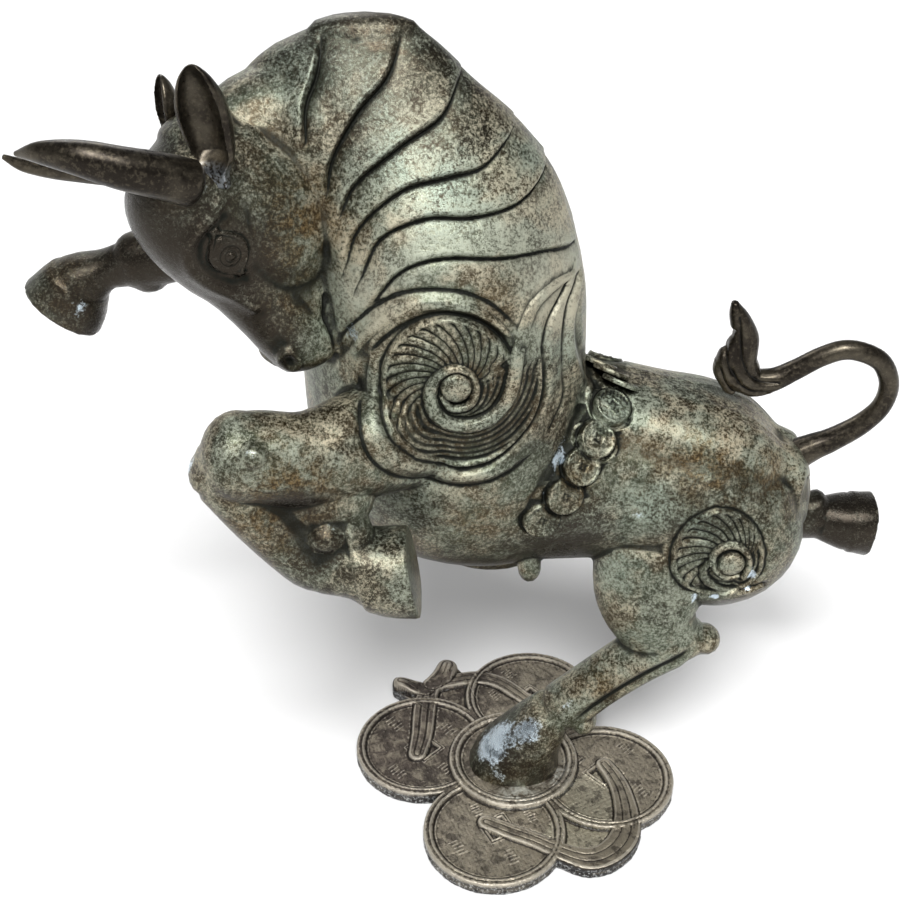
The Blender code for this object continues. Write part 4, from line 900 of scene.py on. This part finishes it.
class Paint:
    """Small helper for building one procedural material."""

    def __init__(self, name):
        self.material = bpy.data.materials.new(name)
        self.material.use_nodes = True
        self.tree = self.material.node_tree
        self.surface = self.tree.nodes["Principled BSDF"]
        self.where = self.tree.nodes.new("ShaderNodeTexCoord").outputs["Object"]

    def link(self, source, target):
        if isinstance(source, (int, float)):
            target.default_value = source
        elif isinstance(source, tuple):
            target.default_value = (*source, 1.0)[:4]
        else:
            self.tree.links.new(source, target)

    def noise(self, scale, detail=3.0, rough=0.55, warp=0.0, offset=(0, 0, 0)):
        made = self.tree.nodes.new("ShaderNodeTexNoise")
        made.inputs["Scale"].default_value = scale
        made.inputs["Detail"].default_value = detail
        made.inputs["Roughness"].default_value = rough
        made.inputs["Distortion"].default_value = warp
        shift = self.tree.nodes.new("ShaderNodeVectorMath")
        shift.operation = "ADD"
        self.link(self.where, shift.inputs[0])
        shift.inputs[1].default_value = offset
        self.link(shift.outputs[0], made.inputs["Vector"])
        return made.outputs["Fac"]

    def field(self, name):
        made = self.tree.nodes.new("ShaderNodeAttribute")
        made.attribute_name = name
        return made.outputs["Fac"]

    def math(self, kind, a, b):
        made = self.tree.nodes.new("ShaderNodeMath")
        made.operation = kind
        self.link(a, made.inputs[0])
        self.link(b, made.inputs[1])
        return made.outputs[0]

    def plus(self, a, b):
        return self.math("ADD", a, b)

    def minus(self, a, b):
        return self.math("SUBTRACT", a, b)

    def times(self, a, b):
        return self.math("MULTIPLY", a, b)

    def larger(self, a, b):
        return self.math("MAXIMUM", a, b)

    def fit(self, value, low, high, to_low=0.0, to_high=1.0):
        return smooth_range(self.tree, value, low, high, to_low, to_high)

    def mix(self, share, a, b, blend="MIX"):
        made = self.tree.nodes.new("ShaderNodeMix")
        made.data_type = "RGBA"
        made.blend_type = blend
        self.link(share, made.inputs["Factor"])
        self.link(a, made.inputs["A"])
        self.link(b, made.inputs["B"])
        return made.outputs["Result"]

    def bump(self, height, distance, strength=1.0, below=None):
        made = self.tree.nodes.new("ShaderNodeBump")
        made.inputs["Strength"].default_value = strength
        made.inputs["Distance"].default_value = distance
        self.link(height, made.inputs["Height"])
        if below is not None:
            self.link(below, made.inputs["Normal"])
        return made.outputs["Normal"]


def patina(name):
    """Green-brown bronze: dark in the cuts with painted shade there, rubbed on the ridges, with a
    pale speckle, painted light and shade from the tone, painted highlights with the solder.
    """
    p = Paint(name)
    hollow = p.field("hollow")
    relief = p.field("relief")
    tone = p.field("tone")
    broad = p.noise(24, 4, 0.6)
    other = p.noise(38, 3, 0.6, 0.3, (3, 1, 7))
    medium = p.noise(130, 5, 0.65, 0.5)
    fine = p.noise(640, 5, 0.74)
    grain = p.noise(1700, 3, 0.7, 0.0, (2, 5, 1))
    brown_green = p.mix(p.fit(other, 0.42, 0.58), (0.080, 0.060, 0.032), (0.066, 0.078, 0.050))
    under = p.mix(p.fit(broad, 0.36, 0.62), (0.034, 0.030, 0.019), brown_green)
    under = p.mix(p.fit(medium, 0.44, 0.62, 0.0, 0.7), under, (0.140, 0.150, 0.105))
    # Raised carving and raised tone make the patina paler: wear on the ridges, and painted light
    # where the tone is raised.
    worn = p.plus(p.times(relief, 0.06), p.times(tone, 0.10))
    patches = p.plus(p.times(p.minus(medium, 0.5), 0.40), worn)
    mottle = p.plus(fine, p.times(p.minus(grain, 0.5), 0.8))
    level = p.plus(p.minus(mottle, 0.5), patches)
    tan = p.mix(p.fit(other, 0.40, 0.60), (0.43, 0.39, 0.28), (0.32, 0.345, 0.27))
    color = p.mix(p.fit(level, -0.09, 0.14, 0.0, 0.92), under, tan)
    # Where the tone is high the patina turns pale: its own pale places, and painted light on the
    # hump, neck and back.
    color = p.mix(p.fit(tone, 0.1, 1.0, 0.0, 0.5), color, (0.44, 0.43, 0.34))
    warm = p.times(p.field("warm"), p.fit(medium, 0.72, 0.34))
    rubbed = p.mix(p.fit(fine, 0.42, 0.60), (0.060, 0.038, 0.015), (0.190, 0.130, 0.055))
    color = p.mix(warm, color, rubbed)
    mint = p.times(p.field("mint"), p.fit(fine, 0.40, 0.56))
    color = p.mix(p.times(mint, 0.8), color, (0.30, 0.37, 0.30))
    pits = p.minus(p.times(p.minus(grain, 0.5), 0.8), worn)
    color = p.mix(p.fit(pits, 0.03, 0.12, 0.0, 0.85), color, (0.022, 0.021, 0.015))
    # Where the tone is low the patina turns near black: dark patina, and painted shade on the
    # undersides, far legs, hooves and face.
    dark_tone_and_shade = p.plus(tone, p.times(p.minus(mottle, 0.5), 1.5))
    color = p.mix(p.fit(dark_tone_and_shade, 0.1, -0.9, 0.0, 0.92), color, (0.030, 0.024, 0.018))
    # Near black in the cuts, in broad hollows and below raised carving: dark patina in the cuts,
    # and painted shade over the broad hollows and under the carving.
    cut = p.minus(p.times(hollow, 0.75), p.times(relief, 0.55))
    grime_and_shade = p.plus(cut, p.times(p.minus(fine, 0.5), 1.2))
    color = p.mix(p.fit(grime_and_shade, 0.16, 0.95), color, (0.010, 0.011, 0.008))
    speckle = p.plus(p.minus(medium, 0.5), p.minus(fine, 0.5))
    # Bluish white: solder at the joins, and painted highlights on the hooves, knobs and beside
    # the strap.
    solder_and_sheen = p.fit(p.plus(p.field("solder_and_sheen"), speckle), 0.36, 0.66)
    color = p.mix(solder_and_sheen, color, (0.56, 0.65, 0.71))
    p.link(color, p.surface.inputs["Base Color"])
    metal = p.larger(p.fit(level, -0.02, 0.11, 0.85, 0.45), solder_and_sheen)
    p.link(metal, p.surface.inputs["Metallic"])
    rough = p.plus(p.fit(level, -0.02, 0.11, 0.34, 0.52), p.fit(grime_and_shade, 0.0, 0.6, 0.0, 0.2))
    gloss = p.plus(p.times(solder_and_sheen, 0.26), p.fit(tone, -0.2, -1.0, 0.0, 0.10))
    p.link(p.minus(rough, gloss), p.surface.inputs["Roughness"])
    low = p.bump(medium, 0.0007, 0.5)
    low = p.bump(fine, 0.0003, 0.7, low)
    p.link(p.bump(grain, 0.0001, 0.6, low), p.surface.inputs["Normal"])
    return p.material


def smooth_bronze(name):
    """Dark brown bronze of horns, ears and tail, smooth with a soft gloss."""
    p = Paint(name)
    hollow = p.field("hollow")
    broad = p.noise(40, 4, 0.6)
    fine = p.noise(520, 4, 0.66)
    color = p.mix(p.fit(broad, 0.40, 0.62), (0.020, 0.016, 0.012), (0.070, 0.060, 0.044))
    color = p.mix(p.times(p.fit(fine, 0.50, 0.64), 0.22), color, (0.20, 0.17, 0.12))
    # Near black in the hollows of ears and tail: dark patina there, with painted shade.
    color = p.mix(p.fit(hollow, 0.05, 0.5), color, (0.012, 0.011, 0.009))
    solder_and_sheen = p.times(p.field("solder_and_sheen"), p.fit(fine, 0.40, 0.56))
    color = p.mix(solder_and_sheen, color, (0.46, 0.50, 0.54))
    p.link(color, p.surface.inputs["Base Color"])
    p.surface.inputs["Metallic"].default_value = 0.85
    p.link(p.fit(fine, 0.3, 0.7, 0.26, 0.42), p.surface.inputs["Roughness"])
    low = p.bump(broad, 0.0008, 0.4)
    p.link(p.bump(fine, 0.0001, 0.5, low), p.surface.inputs["Normal"])
    return p.material


def base_bronze(name):
    """Worn brown bronze of the base, paler on its ridges, greenish in the ribbon's fields."""
    p = Paint(name)
    hollow = p.field("hollow")
    pale = p.field("green")
    broad = p.noise(32, 4, 0.6)
    medium = p.noise(160, 5, 0.66, 0.6)
    fine = p.noise(620, 4, 0.72)
    color = p.mix(p.fit(broad, 0.38, 0.62), (0.050, 0.040, 0.034), (0.115, 0.094, 0.076))
    color = p.mix(pale, color, (0.48, 0.46, 0.35))
    color = p.mix(p.fit(p.field("tone"), 0.0, 1.0, 0.0, 0.6), color, (0.37, 0.33, 0.25))
    color = p.mix(p.fit(medium, 0.48, 0.64, 0.0, 0.6), color, (0.30, 0.265, 0.20))
    color = p.mix(p.fit(medium, 0.50, 0.38, 0.0, 0.7), color, (0.045, 0.037, 0.030))
    wear = p.plus(p.fit(hollow, 0.05, -0.6), p.minus(fine, 0.62))
    color = p.mix(p.fit(wear, 0.2, 1.0, 0.0, 0.6), color, (0.58, 0.53, 0.44))
    # Near black in the crevices round rims, ribbons and strokes: dark patina there, with painted
    # shade.
    grime_and_shade = p.plus(hollow, p.times(p.minus(fine, 0.5), 1.3))
    color = p.mix(p.fit(grime_and_shade, 0.12, 0.62, 0.0, 0.9), color, (0.016, 0.013, 0.011))
    edge = p.mix(p.fit(fine, 0.52, 0.60), (0.028, 0.026, 0.026), (0.42, 0.43, 0.42))
    color = p.mix(p.field("side"), color, edge)
    solder_and_sheen = p.times(p.field("solder_and_sheen"), p.fit(medium, 0.42, 0.58))
    color = p.mix(solder_and_sheen, color, (0.62, 0.62, 0.56))
    p.link(color, p.surface.inputs["Base Color"])
    p.surface.inputs["Metallic"].default_value = 0.75
    p.link(p.fit(fine, 0.3, 0.7, 0.32, 0.50), p.surface.inputs["Roughness"])
    low = p.bump(medium, 0.0010, 0.9)
    p.link(p.bump(fine, 0.0004, 0.9, low), p.surface.inputs["Normal"])
    return p.material


def stage_floor():
    """The pale ground of the picture, no piece of the part."""
    bpy.ops.mesh.primitive_plane_add(size=8.0, location=(0, 0, -0.0002))
    floor = bpy.context.active_object
    floor.name = "floor"
    p = Paint("floor_white")
    p.surface.inputs["Base Color"].default_value = (0.79, 0.79, 0.79, 1)
    p.surface.inputs["Roughness"].default_value = 0.9
    p.surface.inputs["Specular IOR Level"].default_value = 0.1
    floor.data.materials.append(p.material)


def lamp(name, place, aim, size, power):
    """A soft rectangular lamp that faces a point."""
    light = bpy.data.objects.new(name, bpy.data.lights.new(name, "AREA"))
    light.data.shape = "RECTANGLE"
    light.data.size, light.data.size_y = size
    light.data.energy = power
    light.location = place
    light.rotation_euler = (Vector(aim) - Vector(place)).to_track_quat("-Z", "Y").to_euler()
    bpy.context.scene.collection.objects.link(light)


# Brightness of the sky at the bottom, at the top and in the haze round the horizon
SKY_LOW = 0.08
SKY_HIGH = 0.23
HORIZON = 0.85
SUN_POWER = 4.3
SUN_SPREAD = 28
SUN_WAY = (0.0, 0.62, -1.0)
CAMERA_LENS = 59.86
CAMERA_PLACE = (-0.0349, -0.602, 0.635)
CAMERA_TILT = 55.1


def studio():
    """Sky, sun, the lamp behind and the camera."""
    world = bpy.data.worlds.new("soft white")
    bpy.context.scene.world = world
    world.use_nodes = True
    tree = world.node_tree
    sky = tree.nodes["Background"]
    way = tree.nodes.new("ShaderNodeTexCoord").outputs["Generated"]
    parts = tree.nodes.new("ShaderNodeSeparateXYZ")
    tree.links.new(way, parts.inputs[0])
    height = parts.outputs["Z"]
    both = tree.nodes.new("ShaderNodeMath")
    both.operation = "MAXIMUM"
    tree.links.new(smooth_range(tree, height, -0.1, 0.9, SKY_LOW, SKY_HIGH), both.inputs[0])
    tree.links.new(smooth_range(tree, height, 0.26, 0.14, 0.0, HORIZON), both.inputs[1])
    tree.links.new(both.outputs[0], sky.inputs["Strength"])
    sky.inputs["Color"].default_value = (1, 1, 1, 1)
    sun = bpy.data.objects.new("sun", bpy.data.lights.new("sun", "SUN"))
    sun.data.energy = SUN_POWER
    sun.data.angle = math.radians(SUN_SPREAD)
    sun.rotation_euler = Vector(SUN_WAY).to_track_quat("-Z", "Y").to_euler()
    bpy.context.scene.collection.objects.link(sun)
    lamp("back", (-0.35, 0.75, 0.85), (-0.02, 0.03, 0.28), (0.5, 0.3), 3)
    camera = bpy.data.objects.new("camera", bpy.data.cameras.new("camera"))
    camera.data.sensor_width = 36.0
    camera.data.lens = CAMERA_LENS
    camera.data.clip_start = 0.01
    camera.location = CAMERA_PLACE
    camera.rotation_euler = (math.radians(CAMERA_TILT), 0, 0)
    bpy.context.scene.collection.objects.link(camera)
    bpy.context.scene.camera = camera
    bpy.context.scene.view_settings.view_transform = "Standard"


def dressed(obj, material, slot, *nodes):
    """Smooth shading, material, and what the piece stands for."""
    obj.data.transform(Matrix.Scale(MM, 4))
    obj.data.materials.clear()
    obj.data.materials.append(material)
    obj.data.shade_smooth()
    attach(obj, "root")
    if nodes:
        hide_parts(*nodes)


# Places of the patina on the ox, of solder and painted highlights, and of tone with painted light
# and shade: x, y, z, reach and amount
WARM = ((-99, -13, 345, 24, 1), (-106, -18, 306, 14, 0.6), (-105, -60, 240, 20, 0.9),
        (-116, -59, 221, 20, 0.9), (86, -1, 208, 22, 1), (125, 8, 198, 18, 0.8),
        (25, -11, 208, 12, 0.8), (-222, 62, 267, 18, 0.6), (-198, 67, 285, 14, 0.7),
        (44, -12, 76, 12, 0.7), (-26, -24, 192, 14, 0.6), (-13, -17, 311, 12, 0.5))
MINT = ((62, -9, 192, 13, 1), (-45, -29, 225, 14, 0.7), (15, -4, 275, 9, 0.5),
        (50, -6, 152, 12, 0.6), (-56, 0, 373, 20, 0.5), (-35, -5, 355, 18, 0.5),
        (87, -12, 183, 10, 0.7), (43, 14, 235, 12, 0.6), (58, -11, 107, 10, 0.5),
        (0, 24, 363, 16, 0.4), (-82, -11, 297, 14, 0.6), (-99, 21, 405, 18, 0.5))
# Solder at the joins of horns, ears and tail, and painted highlights on the standing hoof, the
# knee knobs and beside the strap.
SOLDER_AND_HIGHLIGHTS = ((-121, -65, 262, 4, 0.45), (-90, -58, 214, 5, 0.4), (-221, 62, 262, 6, 0.5),
          (-151, -48, 243, 5, 0.8), (-15, -6, 30, 13, 1.2), (6, -14, 44, 9, 0.8),
          (28, -8, 60, 6, 0.7), (-8, -20, 14, 5, 0.6), (-136, -26, 367, 4, 0.6),
          (16, -7, 219, 3.6, 1.2), (18, -6, 228, 3.6, 1.2), (14, -9, 211, 3.4, 0.9),
          (89, -9, 134, 2.4, 1), (99, -9, 134, 2.4, 1), (115, -12, 151, 3.5, 0.8),
          (115, -10, 141, 2.6, 0.9), (-79, -14, 292, 5, 0.7), (-60, -20, 191, 5, 0.7),
          (-128, -19, 373, 4, 0.8), (11, -12, 203, 3, 0.8), (58, -9, 186, 5, 0.4),
          (143, 30, 190, 5, 0.7))
# Lighter and darker tone of the patina; the dark places on the far legs, hooves and face are
# partly painted shade, the light places on the hump, neck and back partly painted light.
TONE_WITH_PAINTED_LIGHT_AND_SHADE = ((15, 5, 170, 16, -0.5), (0, -20, 240, 26, -0.3), (-30, -28, 270, 26, -0.15),
        (135, 20, 190, 26, 0.25), (-20, 5, 330, 24, 0.6), (5, 12, 305, 18, 1),
        (60, 10, 210, 30, 0.1), (-165, -8, 350, 34, -1), (-136, -24, 298, 24, -0.6),
        (-122, -20, 335, 22, -0.5), (-150, -20, 330, 26, -0.6), (-225, 70, 262, 30, -0.6),
        (-150, 70, 285, 36, -1), (-195, 70, 280, 22, -0.6), (185, 70, 120, 40, -0.9),
        (2, -4, 18, 24, -0.8), (-76, -15, 303, 18, 0.8), (-112, -20, 292, 18, -0.5),
        (-60, -10, 330, 26, 0.5), (-60, 5, 376, 40, -0.3), (0, 20, 350, 26, 0.3),
        (-100, -55, 250, 24, 0.3), (-60, -50, 180, 26, 0.2), (40, 10, 225, 26, 0.1),
        (-100, -58, 214, 24, -0.4), (-104, -62, 233, 13, -0.6), (10, 10, 300, 30, 0.7),
        (20, 0, 180, 24, -0.5), (60, 0, 110, 26, 0.1), (-80, 40, 412, 40, -0.5),
        (90, -10, 190, 24, -0.3), (130, 20, 170, 26, -0.3), (-80, -48, 184, 26, -0.2))


def patches(points, places):
    """How much of a patch lies at each point."""
    total = np.zeros(len(points))
    for x, y, z, reach, amount in places:
        gap = np.linalg.norm(points - (x, y, z), axis=1)
        total += amount * groove(gap, reach)
    return np.clip(total, -1, 1)


TUFT = (((121, 232), (110, 235), (102, 245), (98, 256), (101, 266)),
        ((126, 238), (115, 240), (107, 250), (104, 262), (103, 274)),
        ((112, 228), (101, 236), (96, 246)))


def tuft_carving(mesh):
    """Grooves between the locks at the end of the tail."""
    points, _ = mesh_arrays(mesh)
    normals = vertex_normals(mesh)
    height = np.zeros(len(points))
    for path in TUFT:
        gap, left, _ = line_field(points[:, (0, 2)], path)
        height += 0.7 * step(gap * left, 0.3) * np.exp(-gap / 3) - 1.5 * groove(gap, 1.1)
    height *= step(128 - points[:, 0], 1.0)
    move(mesh, points + normals * height[:, None])


def fine_zone(points):
    """True where the carving is too fine for the plain skin."""
    side = points[:, (0, 2)]
    zone = np.hypot(*(side - (-30, 270)).T) < 41
    zone |= np.hypot(*(side - (99, 163)).T) < 30
    zone &= np.abs(points[:, 1] - MIDDLE_Y) > 20
    for path in MANE + (BAND_EDGE, BAND_BACK, BACK_RIDGE):
        gap, _, _ = line_field(side, path)
        zone |= (gap < 3.0) & (points[:, 2] > 235)
    for x, z in STRAP:
        zone |= np.hypot(*(side - (x, z)).T) < STRAP_RADIUS + 3
    local = (points - HEAD_ORIGIN) @ np.array(HEAD_AXES).T
    zone |= np.linalg.norm(local[:, (0, 2)] - (38, 6), axis=1) < 17
    zone |= np.linalg.norm(local - (100, 0, -14), axis=1) < 26
    return zone


def coin_disc(bm, centre, face, radius, thick):
    """A round coin with a raised rim, its underside at the centre point."""
    face = Vector(face).normalized()
    side = face.cross(Vector((0, 1, 0))).normalized()
    other = face.cross(side)
    profile = ((0.80, thick - 0.7), (0.84, thick), (0.95, thick), (1.0, thick - 0.4), (1.0, 0.3),
               (0.96, 0))
    turns = np.linspace(0, math.tau, 48, endpoint=False)
    rings = []
    for share, level in profile:
        rings.append([bm.verts.new(Vector(centre) + face * level
                                   + (side * math.cos(t) + other * math.sin(t)) * share * radius)
                      for t in turns])
    bridge(bm, rings)


def ox_skin():
    """The figure as one carved skin, with what its patina and its painted light and shade need to
    know at each point.
    """
    bm = bmesh.new()
    trunk_forms(bm)
    hind_leg_forms(bm)
    fore_leg_forms(bm)
    head_forms(bm)
    ball(bm, (5, 0, 147), (6, 6, 9))
    ox = new_object("ox_skin", bm)
    voxel_union(ox, SKIN_VOXEL)
    relax(ox.data, 24)
    points, _ = mesh_arrays(ox.data)
    refine(ox, fine_zone(points), 1)
    relax(ox.data, 4)
    plain = carve(ox.data)
    thin_out(ox, OX_TRIANGLES, plain)
    mesh = ox.data
    bm = bmesh.new()
    bm.from_mesh(mesh)
    for centre in BACK_COINS:
        coin_disc(bm, centre, BACK_COIN_FACE, STRAP_RADIUS, STRAP_THICK)
    bm.to_mesh(mesh)
    bm.free()
    points, _ = mesh_arrays(mesh)
    normals = vertex_normals(mesh)
    # Hollowness at a fine and at a broad scale; the material darkens with it: dark patina in the
    # cuts, and painted shade over the broad hollows.
    hollow = hollowness(mesh, 4) / 0.3 + hollowness(mesh, 30) / 1.6
    store(mesh, "hollow", np.clip(hollow, -1, 1))
    # Carving height for the material, raised parts paler and sunk parts darker; round the strap's
    # coins it is lowered, so the coins come out darker, with painted shade in the gaps under
    # them.
    relief = carving(points, normals) / 2.4
    coins = np.min([np.hypot(points[:, 0] - x, points[:, 2] - z) for x, z in STRAP], axis=0)
    relief = np.where(coins < STRAP_RADIUS + 1, relief * 1.6 - 1.7, relief)
    store(mesh, "relief", np.clip(relief, -1, 1))
    store(mesh, "warm", patches(points, WARM))
    store(mesh, "mint", patches(points, MINT))
    store(mesh, "solder_and_sheen", patches(points, SOLDER_AND_HIGHLIGHTS))
    # Surfaces that face down are darkened through the tone: painted shade.
    under = np.clip(-normals[:, 2] - 0.1, 0, 1)
    store(mesh, "tone", np.clip(patches(points, TONE_WITH_PAINTED_LIGHT_AND_SHADE) - 0.9 * under, -1, 1))
    return ox


def main():
    green = patina("green_patina")
    dark = smooth_bronze("dark_patina")
    brown = base_bronze("brown_patina")
    dressed(ox_skin(), green, "green_bronze", "ox")
    for name, rows in (("left", NEAR_HORN), ("right", FAR_HORN)):
        bm = bmesh.new()
        loft(bm, rows[1:], (0, 0, 1), per_span=8, sides=48)
        horn = new_object("horn_skin_" + name, bm)
        store(horn.data, "hollow", np.zeros(len(horn.data.vertices)))
        store(horn.data, "solder_and_sheen", np.zeros(len(horn.data.vertices)))
        dressed(horn, dark, "dark_bronze", "horn_" + name)
    bm = bmesh.new()
    tail_forms(bm)
    tail = new_object("tail_skin", bm)
    voxel_union(tail, TAIL_VOXEL)
    relax(tail.data, 8)
    tuft_carving(tail.data)
    store(tail.data, "hollow", np.clip(hollowness(tail.data, 6) / 0.35, -1, 1))
    store(tail.data, "solder_and_sheen", np.zeros(len(tail.data.vertices)))
    dressed(tail, dark, "dark_bronze", "tail")
    for side, root, tip, facing, width in EARS:
        dressed(ear_skin("ear_skin_" + side, root, tip, facing, width), dark, "dark_bronze",
                "ear_" + side)
    dressed(base_skin(), brown, "brown_bronze", "coin_base")
    stage_floor()
    studio()


main()
